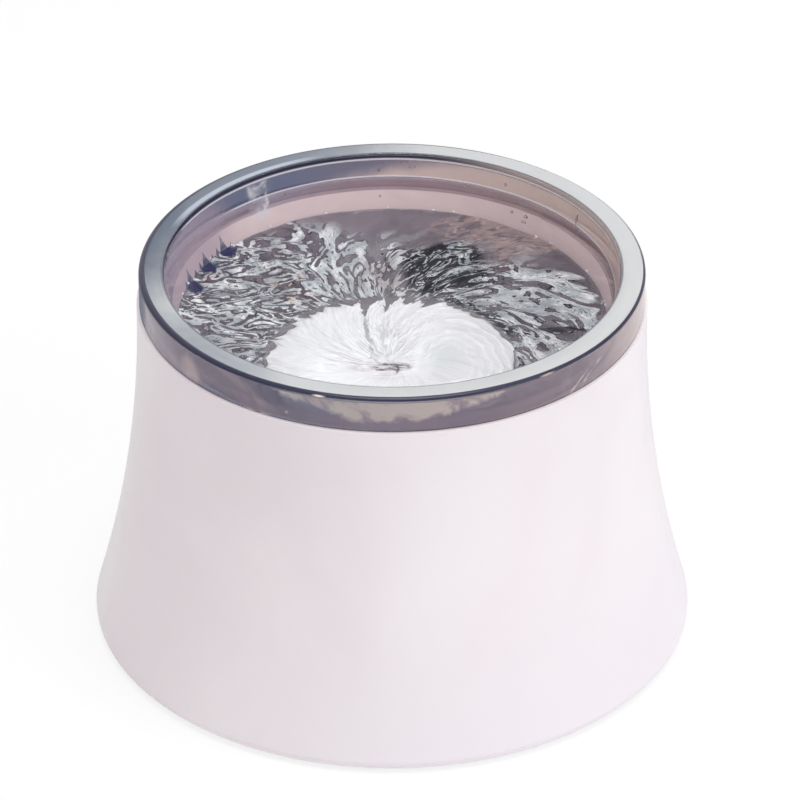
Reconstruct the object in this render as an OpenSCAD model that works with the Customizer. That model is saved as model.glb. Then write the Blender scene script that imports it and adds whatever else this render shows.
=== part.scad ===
// Pet water fountain: a smoked lift-out bowl on a flared white base.
// A motor in the base turns a ring of magnets; a second ring on the impeller, inside the bowl,
// follows it through both floors, so no shaft or lead passes into the water.
// Millimetres, +Z up, origin at the middle of the footprint, front towards -Y, socket at +Y.

/* [Overall] */
// Height from the floor to the top of the bowl rim
overall_h = 151; // [145:1:165]
// Outer diameter of the bowl rim
rim_d = 190; // [184:1:196]
// Largest diameter of the base
base_d = 232.4; // [224:1:240]
// How far the base shell stands off the floor
foot_gap = 1; // [0.6:0.1:2]

/* [Bowl] */
// Wall and floor thickness of the bowl
bowl_wall = 3; // [2:0.1:4]
// Width of the flat top of the rim
rim_w = 9.15; // [8:0.05:12]
// Height of the outer skirt that shows above the base
skirt_h = 14; // [10:0.5:18]
// Radius on the outer top corner of the rim
rim_round = 1.8; // [0.5:0.1:2.4]
// Depth from the rim down to the bowl floor
bowl_depth = 93; // [86:1:98]
// Slope of the wall from upright
bowl_taper = 13.1; // [8:0.1:15]
// Inside radius between wall and floor
bowl_corner = 16; // [8:1:24]
// Depth of the water line below the rim
water_drop = 22.5; // [18:0.5:40]
// Gap under the skirt where the bowl stands on the base
seat_gap = 0.3; // [0.2:0.05:0.6]

/* [Base shell] */
// Wall thickness of the base shell
shell_wall = 2.6; // [2:0.1:3.4]
// How far the shell stands out past the bowl skirt
shell_step = 1; // [0.4:0.1:2]
// Radius on the bottom edge of the shell
base_fillet = 3; // [1:0.5:5]
// Height of the lip on which the skirt stands
lip_h = 3; // [2:0.25:5]
// Radial width of that lip
lip_w = 4; // [3.2:0.1:4.4]
// Height of each inner ledge
ledge_h = 2.6; // [2:0.1:4]
// Width of the foot ring round the bottom plate
foot_ring_w = 5.4; // [4:0.1:8]

/* [Cradle] */
// Clearance between bowl and cradle
cradle_gap = 0.6; // [0.4:0.1:1.2]
// Wall thickness of the cradle
cradle_wall = 2.4; // [1.8:0.1:3]
// Depth of the cradle flange below the rim
cradle_drop = 19.5; // [18:0.5:24]
// Thickness of the cradle flange
flange_t = 2.5; // [2:0.1:4]
// Clearance round the cradle flange
flange_gap = 0.4; // [0.2:0.1:0.8]
// Diameter of the four cradle posts
post_d = 10; // [8:0.5:12]
// Distance of each post from the middle
post_r = 78; // [74:1:84]

/* [Bottom plate] */
// Thickness of the bottom plate
plate_t = 2.6; // [2:0.1:4]
// Clearance round the bottom plate
plate_gap = 0.4; // [0.2:0.1:1]
// Set-back of the plate above the shell's edge
plate_inset = 0.2; // [0:0.1:0.6]
// Diameter of a foot pad
foot_d = 14; // [10:1:18]
// Depth of the pocket that holds a foot pad
foot_pocket = 1.2; // [0.8:0.1:1.4]
// Distance of each foot pad's middle from the plate's edge
foot_edge = 16.4; // [13:0.2:20]

/* [Magnetic drive] */
// Diameter of the motor can
motor_d = 28; // [24:1:34]
// Room between the bottom plate and the motor
motor_under = 10.2; // [8:0.2:14]
// Diameter of the motor shaft
shaft_d = 3; // [2:0.5:4]
// Distance between the two motor screws
motor_screw_gap = 16; // [15:0.5:18]
// Diameter of the magnet carrier
hub_d = 44; // [40:1:50]
// Thickness of the magnet carrier
hub_h = 6; // [5:0.5:7]
// Gap between magnet carrier and cradle
hub_clear = 1.1; // [0.8:0.1:2]
// Gap between magnet carrier and bracket
hub_under = 2.9; // [2.6:0.1:4]
// Diameter of a magnet
magnet_d = 8; // [6:0.5:9]
// Thickness of a drive magnet
magnet_h = 3.5; // [2:0.5:4]
// Number of magnets in each ring
magnet_n = 6; // [4:2:8]
// Diameter of the motor bracket
bracket_d = 74; // [72:1:80]
// Thickness of the motor bracket
bracket_t = 2; // [1.6:0.2:3]
// Distance of each bracket boss from the middle
bracket_r = 31; // [30:0.5:32]
// Diameter of a bracket boss
boss_d = 8; // [7:0.5:9]

/* [Pump] */
// Diameter of the ceramic pump shaft
pin_d = 3; // [2.5:0.5:4]
// Running clearance on every shaft, on the radius
run_gap = 0.05; // [0.03:0.01:0.08]
// Height of the shaft boss on the bowl floor
pin_boss_h = 3; // [2:0.5:5]
// Diameter of the impeller
impeller_d = 33; // [30:1:36]
// Thickness of the impeller's magnet disc
rotor_h = 5.5; // [4.8:0.1:7]
// Height of the impeller vanes
vane_h = 4.5; // [3:0.5:6]
// Thickness of an impeller vane
vane_t = 1.6; // [1:0.1:2.4]
// Number of impeller vanes
vane_n = 6; // [4:1:8]
// Outer diameter of the impeller bush
bush_d = 6; // [5.5:0.1:7]
// Outer diameter of the pump housing
pump_d = 46; // [44:1:47]
// Wall of the pump housing
pump_wall = 2.6; // [1.8:0.1:3.4]
// Outer diameter of the riser tube
riser_d = 16; // [14:0.5:18]
// Wall of the riser tube
riser_wall = 2.4; // [1.6:0.1:2.6]
// Height of the riser tube above the pump housing
riser_h = 7.5; // [6:0.5:8]

/* [Filter] */
// Outer diameter of the filter box
filter_d = 88; // [84:1:92]
// Wall of the filter box
filter_wall = 2; // [1.4:0.1:2.6]
// Height of the filter box
filter_h = 25.7; // [25:0.1:28]
// Number of side slots in the filter box
slot_n = 24; // [16:1:30]
// Width of a side slot
slot_w = 3; // [2:0.25:4]
// Thickness of the cartridge casing
casing_t = 1; // [0.8:0.1:1.4]
// Clearance between the pieces of the filter
fit_gap = 0.3; // [0.2:0.05:0.4]
// Radial thickness of the foam ring
foam_t = 6; // [4:0.5:7]

/* [Swirl cap] */
// Thickness of the cap
cap_t = 2; // [1.6:0.1:2.6]
// Rise of the cap's ring-shaped crown
crown_h = 3; // [2:0.25:5]
// Width of the cap's edge beyond its skirt
cap_lap = 1; // [0.4:0.1:2]
// Depth of the cap's skirt over the filter box
cap_skirt = 5; // [3:0.5:6]
// Number of curved blades on the cap
blade_n = 28; // [20:2:32]
// Height of a blade above the crown
blade_h = 1.6; // [0.8:0.1:2.4]
// Bend radius of a blade
blade_arc = 45; // [38:1:60]
// Thickness of a blade at its root
blade_t = 0.9; // [0.6:0.1:1.4]

/* [Battery] */
// Diameter of a cell
cell_d = 18.4; // [18:0.1:21]
// Length of a cell
cell_l = 65; // [60:1:70]
// Distance of the battery holder's middle from the plate's edge
holder_edge = 52.4; // [50:0.2:54]
// Wall of the battery holder
holder_wall = 1.6; // [1.2:0.1:2.4]

/* [Rear panel] */
// Height of the panel's middle above the floor
panel_z = 24; // [22:0.5:28]
// Width of the panel face
panel_w = 30; // [28:1:32]
// Height of the panel face
panel_h = 28; // [27:0.5:30]
// Corner radius of the panel face
panel_round = 5; // [2:0.5:7]
// Thickness of the panel face
panel_t = 3.4; // [3:0.1:4]
// How far the face lies below the shell's surface
panel_inset = 1.6; // [1.3:0.1:2.2]
// Clearance between panel and opening
panel_gap = 0.2; // [0.1:0.05:0.4]
// Diameter of the power button
button_d = 9.6; // [8:0.2:11]
// Travel of the power button
button_travel = 0.8; // [0.4:0.1:1]
// Height of the button's middle above the panel's middle
button_z = 7.5; // [7:0.5:8]
// Width of the charge socket
socket_w = 9; // [8.8:0.1:9.4]
// Height of the charge socket
socket_h = 3.3; // [3.2:0.1:3.6]
// Depth of the charge socket's middle below the panel's middle
socket_z = 8; // [7.5:0.5:8.5]
// Diameter of the light pipe
pipe_d = 2.5; // [2:0.25:3]
// Thickness of the control board
board_t = 1.6; // [1:0.2:2]

/* [Hidden] */
$fn = 96;

// Base shell
rim_r = rim_d / 2;
base_r = base_d / 2;
shell_top_r = rim_r + shell_step;
shell_top_z = overall_h - skirt_h - seat_gap;
flare_h = shell_top_z - foot_gap;
flare_dr = base_r - shell_top_r;
flare_R = (flare_h * flare_h + flare_dr * flare_dr) / (2 * flare_dr);
flare_x = shell_top_r + flare_R;
function shell_r(z) = flare_x - sqrt(flare_R * flare_R - (shell_top_z - z) * (shell_top_z - z));

// Bowl
rim_in_r = rim_r - rim_w;
floor_z = overall_h - bowl_depth;
water_z = overall_h - water_drop;
taper_sin = sin(bowl_taper);
taper_cos = cos(bowl_taper);
corner_z = floor_z + bowl_corner;
corner_x = rim_in_r - (bowl_corner + (overall_h - corner_z) * taper_sin) / taper_cos;
function wall_r(z, grow) = rim_in_r + grow / taper_cos - (overall_h - z) * taper_sin / taper_cos;

// Cradle
cradle_in = bowl_wall + cradle_gap;
cradle_out = cradle_in + cradle_wall;
flange_z = overall_h - cradle_drop;
flange_r = shell_top_r - lip_w - flange_gap;
cradle_under = floor_z - cradle_out;
ledge_z = flange_z - flange_t;
post_angles = [45, 135, 225, 315];

// Bottom plate
plate_z = foot_gap + plate_inset;
plate_top = plate_z + plate_t;
foot_ring_r = base_r - foot_ring_w;
plate_r = foot_ring_r - plate_gap;
foot_r = plate_r - foot_edge;
screw_d = 3;
screw_l = 14;
head_d = 5.6;
head_h = 1.4;

// Magnetic drive
hub_top = cradle_under - hub_clear;
hub_z = hub_top - hub_h;
bracket_top = hub_z - hub_under;
bracket_z = bracket_top - bracket_t;
motor_z = plate_top + motor_under;
motor_l = bracket_z - motor_z;
pilot_d = 8;
magnet_r = hub_d / 2 - magnet_d / 2 - 2;
small_screw_d = 2.6;
small_head_d = 4.6;
small_head_h = 1.6;
boss_depth = 8;
boss_bite = 7;
boss_turn = 30;
drive_shaft_low = motor_z + 4;

// Pump
boss_top = floor_z + pin_boss_h;
pin_low = floor_z - bowl_wall / 3;
bush_z = boss_top + 0.4;
rotor_z = bush_z + 0.6;
rotor_top = rotor_z + rotor_h;
vane_top = rotor_top + vane_h;
bush_top = vane_top + 0.6;
spider_z = bush_top + 0.4;
spider_h = 3;
pin_top = spider_z + spider_h - 0.6;
pump_low = floor_z + seat_gap;
pump_top = spider_z + spider_h + 2;
riser_top = pump_top + riser_h;
rotor_magnet_d = 7;
rotor_magnet_h = 4;
rotor_magnet_r = impeller_d / 2 - rotor_magnet_d / 2 - 1;

// Filter and cap
filter_r = filter_d / 2;
filter_low = floor_z + seat_gap;
filter_top = filter_low + filter_h;
filter_floor_t = 2.4;
well_r = pump_d / 2 + 1;
well_wall = 1.6;
casing_in = well_r + well_wall + fit_gap;
casing_out = filter_r - filter_wall - fit_gap;
casing_z = filter_low + filter_floor_t + fit_gap;
casing_top = filter_top - 4;
media_z = casing_z + casing_t + fit_gap;
media_top = casing_top - 0.5;
foam_out = casing_out - casing_t - fit_gap;
foam_in = foam_out - foam_t;
media_in = casing_in + casing_t + fit_gap;
media_out = foam_in - fit_gap;
lid_t = 1.2;
cap_low = filter_top + seat_gap;
cap_skirt_in = filter_r + fit_gap + 0.1;
cap_skirt_out = cap_skirt_in + cap_t;
cap_r = cap_skirt_out + cap_lap;
nozzle_in = riser_d / 2 + 0.4;
nozzle_out = nozzle_in + cap_t;
crown_w = cap_skirt_out - nozzle_in;
crown_R = (crown_w * crown_w / 4 + crown_h * crown_h) / (2 * crown_h);
crown_x = nozzle_in + crown_w / 2;
crown_z = cap_low + cap_t + crown_h - crown_R;
nozzle_z = riser_top + seat_gap;
cap_top = cap_low + cap_t + crown_h + blade_h;

// Battery
holder_y = plate_r - holder_edge;
cell_gap = 0.4;
cell_pitch = cell_d + 2 * cell_gap;
contact_t = 0.6;
contact_l = 3;
contact_w = 9;
spring_d = 3;
tip_d = 6;
tip_l = 1.5;
tray_l = cell_l + 2 * contact_l + 2 * holder_wall;
tray_w = 2 * cell_pitch + 2 * holder_wall + 0.4;
tray_z = plate_top + 2;
cell_z = tray_z + holder_wall + cell_d / 2 + 0.2;
lug_l = 9;
lug_t = 2.4;

// Rear panel, in its own frame: x across, y out of the shell, z up its slope
panel_tilt = asin((shell_top_z - panel_z) / flare_R);
panel_y = shell_r(panel_z);
pad_back = panel_inset + panel_t;
pad_margin = 4;
rim_plate_t = 1.5;
rim_margin = 3;
rim_rise = 1;
land_gap = 0.4;
panel_back = pad_back + rim_plate_t;
panel_screw_d = 1.6;
panel_screw_head = 1;
panel_screw_bite = 2;
panel_screw_gap = 0.3;
stand_l = 5.5;
board_front = panel_back + stand_l;
board_back = board_front + board_t;
board_w = panel_w + 5;
board_h = panel_h + 5;
corner_dx = board_w / 2 - 2.6;
corner_dz = board_h / 2 - 2.6;
switch_h = 2.4;
plunger_d = 3.2;
plunger_out = 0.6;
switch_face = board_front - switch_h;
plunger_tip = switch_face - plunger_out;
button_out = panel_inset - 0.8;
button_flange_d = button_d + 1.8;
button_flange_y = panel_back + 0.3;
socket_l = board_front - panel_inset - 1.2;
led_h = 1.2;
chip_w = 8;
chip_h = 1.2;
coil_w = 6;
coil_h = 3;
coil_x = 10;
coil_z = 8;
cap_d = 6;
cap_h = 7;
cap_x = -9;
small_cap_d = 5;
small_cap_h = 5;
small_cap_z = 10;

// A point of the panel's frame in the part's own frame
function on_panel(x, y, z) = [
    x,
    panel_y + y * cos(panel_tilt) - z * sin(panel_tilt),
    panel_z + y * sin(panel_tilt) + z * cos(panel_tilt)
];

lead_d = 1.6;
lead_gap = 0.7;
lead_end = 0.5;
terminal_out = 1;
terminal_z = 5;
terminal_w = 6;
terminal_h = 5;
plug_x = 10;
plug_z = -9;
plug_h = 5.6;
plug_w = 7.5;
plug_t = 5.8;
stub_l = 3;
plug_back = board_back + plug_h;
battery_route = [
    [tray_l / 2 + 0.2, -holder_y, cell_z],
    [tray_l / 2 + stub_l, -holder_y, cell_z],
    [tray_l / 2 + 1.6 * stub_l, -0.76 * holder_y, (cell_z + plate_top) / 2],
    [tray_l / 2 + stub_l, 0, plate_top + lead_d + lead_gap],
    [tray_l / 2 - 2 * stub_l, 0.47 * plate_r, plate_top + lead_d + lead_gap],
    [plug_x + stub_l, 0.69 * plate_r, plate_top + stub_l + lead_d],
    on_panel(plug_x, -plug_back - stub_l, plug_z),
    on_panel(plug_x, -plug_back - lead_end, plug_z)
];
motor_route = [
    [-motor_d / 2 - terminal_out - 0.2, 0, motor_z + terminal_z],
    [-motor_d / 2 - terminal_out - stub_l, 0, motor_z + terminal_z],
    [-motor_d / 2 - terminal_out - 3 * stub_l, motor_d / 2, plate_top + lead_d + lead_gap],
    [-motor_d / 2 - 4 * stub_l, 0.36 * plate_r, plate_top + lead_d + lead_gap],
    [-plug_x - 1.6 * stub_l, 0.67 * plate_r, plate_top + stub_l + lead_d],
    on_panel(-plug_x, -plug_back - stub_l, plug_z),
    on_panel(-plug_x, -plug_back - lead_end, plug_z)
];

// ---------- shared shapes ----------

// Half section inside the flare, moved in by inset
module flare_area(inset) {
    difference() {
        translate([0, foot_gap])
            square([base_r + 10, flare_h]);
        translate([flare_x, shell_top_z])
            circle(r = flare_R + inset, $fn = 360);
    }
}

// Corner of the half section that the bottom fillet takes away
module flare_corner() {
    reach = flare_R + base_fillet;
    fz = foot_gap + base_fillet;
    fx = flare_x - sqrt(reach * reach - (shell_top_z - fz) * (shell_top_z - fz));
    tx = fx + base_fillet * (flare_x - fx) / reach;
    tz = fz + base_fillet * (shell_top_z - fz) / reach;
    difference() {
        polygon([
            [fx, fz], [fx, foot_gap - 1], [base_r + 5, foot_gap - 1],
            [base_r + 5, tz + 1], [tx + 0.4, tz + 1], [tx, tz]
        ]);
        translate([fx, fz])
            circle(r = base_fillet);
    }
}

// Half section of the bowl's hollow, grown outwards
module bowl_area(grow, top) {
    rc = bowl_corner + grow;
    polygon([
        [0, floor_z - grow],
        [corner_x, floor_z - grow],
        [corner_x + rc * taper_cos, corner_z - rc * taper_sin],
        [wall_r(top, grow), top],
        [0, top]
    ]);
    intersection() {
        translate([corner_x, corner_z])
            circle(r = rc);
        translate([0, floor_z - grow])
            square([corner_x + rc, rc + grow]);
    }
}

// Upright ring
module ring(r_in, r_out, z_low, z_top) {
    translate([0, 0, z_low])
        difference() {
            cylinder(r = r_out, h = z_top - z_low);
            translate([0, 0, -1])
                cylinder(r = r_in, h = z_top - z_low + 2);
        }
}

// Upright rod
module rod(r, z_low, z_top) {
    translate([0, 0, z_low])
        cylinder(r = r, h = z_top - z_low);
}

// Copies round the Z axis
module around(count, first = 0) {
    for (i = [0 : count - 1])
        rotate(first + i * 360 / count)
            children();
}

// Copies at the four cradle posts
module at_posts() {
    for (a = post_angles)
        rotate(a)
            translate([post_r, 0, 0])
                children();
}

// Row of upright slots cut through a round wall
module wall_slots(count, width, r_in, r_out, z_low, z_top) {
    around(count)
        translate([r_in - 1, -width / 2, z_low])
            cube([r_out - r_in + 2, width, z_top - z_low]);
}

// Pan-head screw that points up from z = 0, with a cross recess
module screw_up(d, length, hd, hh) {
    difference() {
        union() {
            cylinder(d = d, h = length);
            translate([0, 0, -hh])
                cylinder(d = hd, h = hh);
        }
        for (a = [0, 90])
            rotate(a)
                translate([-hd * 0.3, -0.4, -hh - 1])
                    cube([hd * 0.6, 0.8, 1 + hh * 0.5]);
    }
}

// Rectangle with round corners
module round_rect(w, h, r) {
    square([w - 2 * r, h], center = true);
    square([w, h - 2 * r], center = true);
    for (sx = [-1, 1], sy = [-1, 1])
        translate([sx * (w / 2 - r), sy * (h / 2 - r)])
            circle(r = r);
}

// Puts its children in the rear panel's frame
module at_panel() {
    translate([0, panel_y, panel_z])
        rotate([panel_tilt, 0, 0])
            children();
}

// Extrudes a shape drawn in x and z from depth near to depth far behind the shell's surface
module panel_slab(near, far) {
    translate([0, -near, 0])
        rotate([90, 0, 0])
            linear_extrude(height = far - near)
                children();
}

// Rod in the panel's frame from depth near to depth far
module panel_rod(d, near, far, x = 0, z = 0) {
    translate([x, -near, z])
        rotate([90, 0, 0])
            cylinder(d = d, h = far - near);
}

// Copies at the corners of the control board
module at_corners() {
    for (sx = [-1, 1], sz = [-1, 1])
        translate([sx * corner_dx, 0, sz * corner_dz])
            children();
}

// Wire along a list of points, with round bends
module wire(points, d) {
    for (i = [0 : len(points) - 2]) {
        run = points[i + 1] - points[i];
        translate(points[i])
            rotate([0, acos(run[2] / norm(run)), atan2(run[1], run[0])])
                cylinder(d = d, h = norm(run), $fn = 12);
    }
    for (i = [1 : len(points) - 2])
        translate(points[i])
            sphere(d = d, $fn = 12);
}

// ---------- base ----------

module outer_shell() {
    color("white")
    difference() {
        union() {
            rotate_extrude($fn = 180)
                difference() {
                    flare_area(0);
                    flare_area(shell_wall);
                    flare_corner();
                }
            // Lip under the bowl skirt
            ring(shell_top_r - lip_w, shell_top_r - shell_wall / 2, shell_top_z - lip_h, shell_top_z);
            // Ledge under the cradle flange
            ring(
                wall_r(ledge_z, cradle_out) + 1.5, shell_r(ledge_z - ledge_h) - shell_wall / 2,
                ledge_z - ledge_h, ledge_z
            );
            // Foot ring and ledge round the bottom plate
            rotate_extrude($fn = 180)
                difference() {
                    intersection() {
                        flare_area(shell_wall / 2);
                        union() {
                            translate([foot_ring_r, foot_gap])
                                square([foot_ring_w, plate_top - foot_gap + ledge_h]);
                            translate([foot_ring_r - 4, plate_top])
                                square([foot_ring_w, ledge_h]);
                        }
                    }
                    flare_corner();
                }
            // Flat pad behind the rear panel
            intersection() {
                at_panel()
                    panel_slab(0, pad_back)
                        square([panel_w + 2 * pad_margin, panel_h + 2 * pad_margin], center = true);
                rotate_extrude($fn = 180)
                    flare_area(shell_wall / 2);
            }
        }
        at_panel()
            panel_slab(-6, pad_back + 1)
                round_rect(panel_w + 2 * panel_gap, panel_h + 2 * panel_gap, panel_round + panel_gap);
        // Flat land for the panel's rim plate and its screw heads
        at_panel()
            panel_slab(pad_back, panel_back + panel_screw_head + land_gap)
                round_rect(
                    panel_w + 2 * (rim_margin + land_gap), panel_h + 2 * (rim_rise + land_gap), 2
                );
        // Pilot holes for the panel screws
        at_panel()
            panel_holes(
                pad_back - panel_screw_bite - panel_screw_gap, pad_back + 1,
                panel_screw_d + panel_screw_gap
            );
    }
}

// Holes at the four corners of the panel's rim
module panel_holes(near, far, d) {
    for (sx = [-1, 1], sz = [-1, 1])
        panel_rod(d, near, far, sx * (panel_w / 2 + 1.6), sz * (panel_h / 2 - 4));
}

module cradle() {
    color("whitesmoke")
    difference() {
        union() {
            rotate_extrude($fn = 180)
                bowl_area(cradle_out, flange_z);
            rod(flange_r, flange_z - flange_t, flange_z);
            at_posts()
                rod(post_d / 2, plate_top, floor_z + 40);
            around(3, boss_turn)
                translate([bracket_r, 0, 0])
                    rod(boss_d / 2, bracket_top, cradle_under + 1);
        }
        rotate_extrude($fn = 180)
            bowl_area(cradle_in, flange_z + 1);
        at_posts()
            rod(screw_d / 2, plate_top - 1, plate_top + screw_l);
        around(3, boss_turn)
            translate([bracket_r, 0, 0])
                rod(small_screw_d / 2, bracket_top - 1, bracket_top + boss_depth);
    }
}

module bottom_plate() {
    color("whitesmoke")
    difference() {
        union() {
            rod(plate_r, plate_z, plate_top);
            for (s = [-1, 1])
                translate([0, -holder_y + s * (tray_w / 2 + lug_l / 2), 0])
                    rod(3.5, plate_z, tray_z);
        }
        at_posts() {
            rod(screw_d / 2 + 0.2, plate_z - 1, plate_top + 1);
            rod(head_d / 2 + 0.2, plate_z - 1, plate_z + head_h);
        }
        around(4)
            translate([foot_r, 0, 0])
                rod(foot_d / 2 + 0.05, plate_z - 1, plate_z + foot_pocket);
        for (s = [-1, 1])
            translate([0, -holder_y + s * (tray_w / 2 + lug_l / 2), 0])
                rod(small_screw_d / 2, plate_z + 1, tray_z + 1);
    }
}

module foot_pads() {
    color("gray")
    around(4)
        translate([foot_r, 0, 0])
            rotate_extrude()
                intersection() {
                    square([foot_d / 2, plate_z + foot_pocket]);
                    union() {
                        translate([0, 0.5])
                            square([foot_d / 2, plate_z + foot_pocket]);
                        square([foot_d / 2 - 0.5, 1]);
                        translate([foot_d / 2 - 0.5, 0.5])
                            circle(r = 0.5);
                    }
                }
}

module base_screws() {
    color("silver")
    at_posts()
        translate([0, 0, plate_z + head_h])
            screw_up(screw_d, screw_l - 1, head_d, head_h);
}

module motor_bracket() {
    color("lightgray")
    difference() {
        intersection() {
            rod(bracket_d / 2, bracket_z, bracket_top);
            around(3, boss_turn)
                translate([-pilot_d * 2, -boss_d / 2 - 2, bracket_z])
                    cube([bracket_d, boss_d + 4, bracket_t]);
        }
        rod(pilot_d / 2 + 0.1, bracket_z - 1, bracket_top + 1);
        around(3, boss_turn)
            translate([bracket_r, 0, 0])
                rod(small_screw_d / 2 + 0.2, bracket_z - 1, bracket_top + 1);
        around(2)
            translate([motor_screw_gap / 2, 0, 0])
                rod(small_screw_d / 2 + 0.1, bracket_z - 1, bracket_top + 1);
    }
}

module bracket_screws() {
    color("silver")
    around(3, boss_turn)
        translate([bracket_r, 0, bracket_z])
            screw_up(small_screw_d, bracket_t + boss_bite, small_head_d, small_head_h);
}

module drive_motor() {
    color("darkgray")
    difference() {
        union() {
            rotate_extrude() {
                translate([0, motor_z])
                    square([motor_d / 2 - 1, motor_l]);
                translate([0, motor_z + 1])
                    square([motor_d / 2, motor_l - 2]);
                for (z = [motor_z + 1, bracket_z - 1])
                    translate([motor_d / 2 - 1, z])
                        circle(r = 1);
            }
            rod(pilot_d / 2, bracket_z - 1, bracket_z + bracket_t * 0.8);
            translate([-motor_d / 2 - terminal_out, -terminal_w / 2, motor_z + terminal_z - terminal_h / 2])
                cube([terminal_out + 2, terminal_w, terminal_h]);
        }
        rod(shaft_d / 2 + run_gap, drive_shaft_low - 0.4, bracket_top + 1);
        around(2)
            translate([motor_screw_gap / 2, 0, 0])
                rod(small_screw_d / 2, bracket_z - 4, bracket_z + 1);
    }
}

module motor_screws() {
    color("silver")
    around(2)
        translate([motor_screw_gap / 2, 0, bracket_top])
            mirror([0, 0, 1])
                screw_up(small_screw_d, bracket_t + 3, small_head_d - 0.6, 1.2);
}

module battery_holder() {
    color("dimgray")
    translate([0, -holder_y, 0])
    difference() {
        union() {
            translate([-tray_l / 2, -tray_w / 2, tray_z])
                cube([tray_l, tray_w, holder_wall]);
            for (s = [-1, 1]) {
                translate([s * (tray_l - holder_wall) / 2 - holder_wall / 2, -tray_w / 2, tray_z])
                    cube([holder_wall, tray_w, cell_d]);
                translate([-tray_l / 2, s * (tray_w - holder_wall) / 2 - holder_wall / 2, tray_z])
                    cube([tray_l, holder_wall, cell_d * 0.55]);
                translate([0, s * tray_w / 2, tray_z])
                    translate([-lug_l / 2, s > 0 ? -1 : 1 - lug_l, 0])
                        cube([lug_l, lug_l, lug_t]);
            }
        }
        for (s = [-1, 1])
            translate([0, s * (tray_w / 2 + lug_l / 2), 0])
                rod(small_screw_d / 2 + 0.2, tray_z - 1, tray_z + lug_t + 1);
    }
}

module holder_screws() {
    color("silver")
    for (s = [-1, 1])
        translate([0, -holder_y + s * (tray_w / 2 + lug_l / 2), tray_z + lug_t])
            mirror([0, 0, 1])
                screw_up(small_screw_d, lug_t + 2.6, small_head_d, small_head_h);
}

module at_cells() {
    for (s = [-1, 1])
        translate([0, -holder_y + s * cell_pitch / 2, cell_z])
            rotate([0, s * 90, 0])
                children();
}

module battery_cells() {
    color("steelblue")
    at_cells() {
        translate([0, 0, -cell_l / 2])
            cylinder(d = cell_d, h = cell_l - tip_l);
        translate([0, 0, cell_l / 2 - tip_l])
            cylinder(d = tip_d, h = tip_l);
    }
}

module battery_contacts() {
    color("gold")
    at_cells()
        for (s = [-1, 1])
            translate([0, 0, s * (cell_l / 2 + contact_l - contact_t / 2)]) {
                cube([contact_w, contact_w, contact_t], center = true);
                translate([0, 0, s * (contact_t / 2 - contact_l / 2 - contact_t / 2)])
                    cylinder(d = spring_d, h = contact_l - contact_t - 0.1, center = true);
            }
}

module battery_leads() {
    color("firebrick")
    for (s = [-1, 1])
        translate([0, 0, s * (lead_d + lead_gap) / 2])
            wire(battery_route, lead_d);
}

module motor_leads() {
    color("darkorange")
    for (s = [-1, 1])
        translate([0, 0, s * (lead_d + lead_gap) / 2])
            wire(motor_route, lead_d);
}

// ---------- rear panel and control board ----------

module rear_panel() {
    color("gainsboro")
    at_panel()
    difference() {
        union() {
            panel_slab(panel_inset, pad_back + 0.5)
                round_rect(panel_w, panel_h, panel_round);
            panel_slab(pad_back, panel_back)
                round_rect(panel_w + 2 * rim_margin, panel_h + 2 * rim_rise, 2);
            at_corners()
                panel_rod(4.6, panel_back - 1, board_front);
        }
        panel_rod(button_d + 0.6, 0, panel_back + 1, 0, button_z);
        panel_rod(pipe_d + 0.1, 0, panel_back + 1);
        translate([0, 0, -socket_z])
            panel_slab(0, panel_back + 1)
                round_rect(socket_w + 0.5, socket_h + 0.5, (socket_h + 0.4) / 2);
        panel_holes(0, panel_back + 1, panel_screw_d + 0.4);
        at_corners()
            panel_rod(1.6, panel_back, board_front + 1);
    }
}

module panel_screws() {
    color("silver")
    at_panel()
        for (sx = [-1, 1], sz = [-1, 1])
            translate([sx * (panel_w / 2 + 1.6), -panel_back, sz * (panel_h / 2 - 4)])
                rotate([-90, 0, 0])
                    screw_up(panel_screw_d, rim_plate_t + panel_screw_bite, 2.4, panel_screw_head);
}

module control_board() {
    color("seagreen")
    at_panel()
    difference() {
        panel_slab(board_front, board_back)
            round_rect(board_w, board_h, 1.5);
        at_corners()
            panel_rod(1.8, board_front - 1, board_back + 1);
    }
}

module board_screws() {
    color("silver")
    at_panel()
        at_corners()
            translate([0, -board_back, 0])
                rotate([-90, 0, 0])
                    screw_up(1.6, board_t + 3.4, 3.2, 1);
}

module board_components() {
    at_panel() {
        color("dimgray") {
            panel_slab(board_back, board_back + chip_h)
                square([chip_w, chip_w], center = true);
            panel_slab(board_back, board_back + coil_h)
                translate([coil_x, coil_z])
                    square([coil_w, coil_w], center = true);
        }
        color("black") {
            panel_rod(cap_d, board_back, board_back + cap_h, cap_x, coil_z);
            panel_rod(small_cap_d, board_back, board_back + small_cap_h, 0, small_cap_z);
        }
        color("ivory")
            for (s = [-1, 1])
                translate([s * plug_x, 0, plug_z])
                    panel_slab(board_back, plug_back)
                        square([plug_w, plug_t], center = true);
    }
}

module charge_socket() {
    color("silver")
    at_panel()
    translate([0, 0, -socket_z])
    difference() {
        panel_slab(board_front - socket_l, board_front)
            round_rect(socket_w, socket_h, (socket_h - 0.1) / 2);
        difference() {
            panel_slab(board_front - socket_l - 1, board_front - 3)
                round_rect(socket_w - 0.6, socket_h - 0.6, (socket_h - 0.7) / 2);
            panel_slab(board_front - socket_l + 0.6, board_front)
                square([socket_w - 2.4, 0.7], center = true);
        }
    }
}

module button_switch() {
    color("dimgray")
    at_panel()
    translate([0, 0, button_z])
    difference() {
        panel_slab(switch_face, board_front)
            square([6, 6], center = true);
        panel_rod(plunger_d + 0.3, switch_face - 1, board_front - 0.4);
    }
}

module switch_plunger() {
    color("white")
    at_panel()
        panel_rod(plunger_d, plunger_tip, board_front - 0.6 - button_travel, 0, button_z);
}

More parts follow.
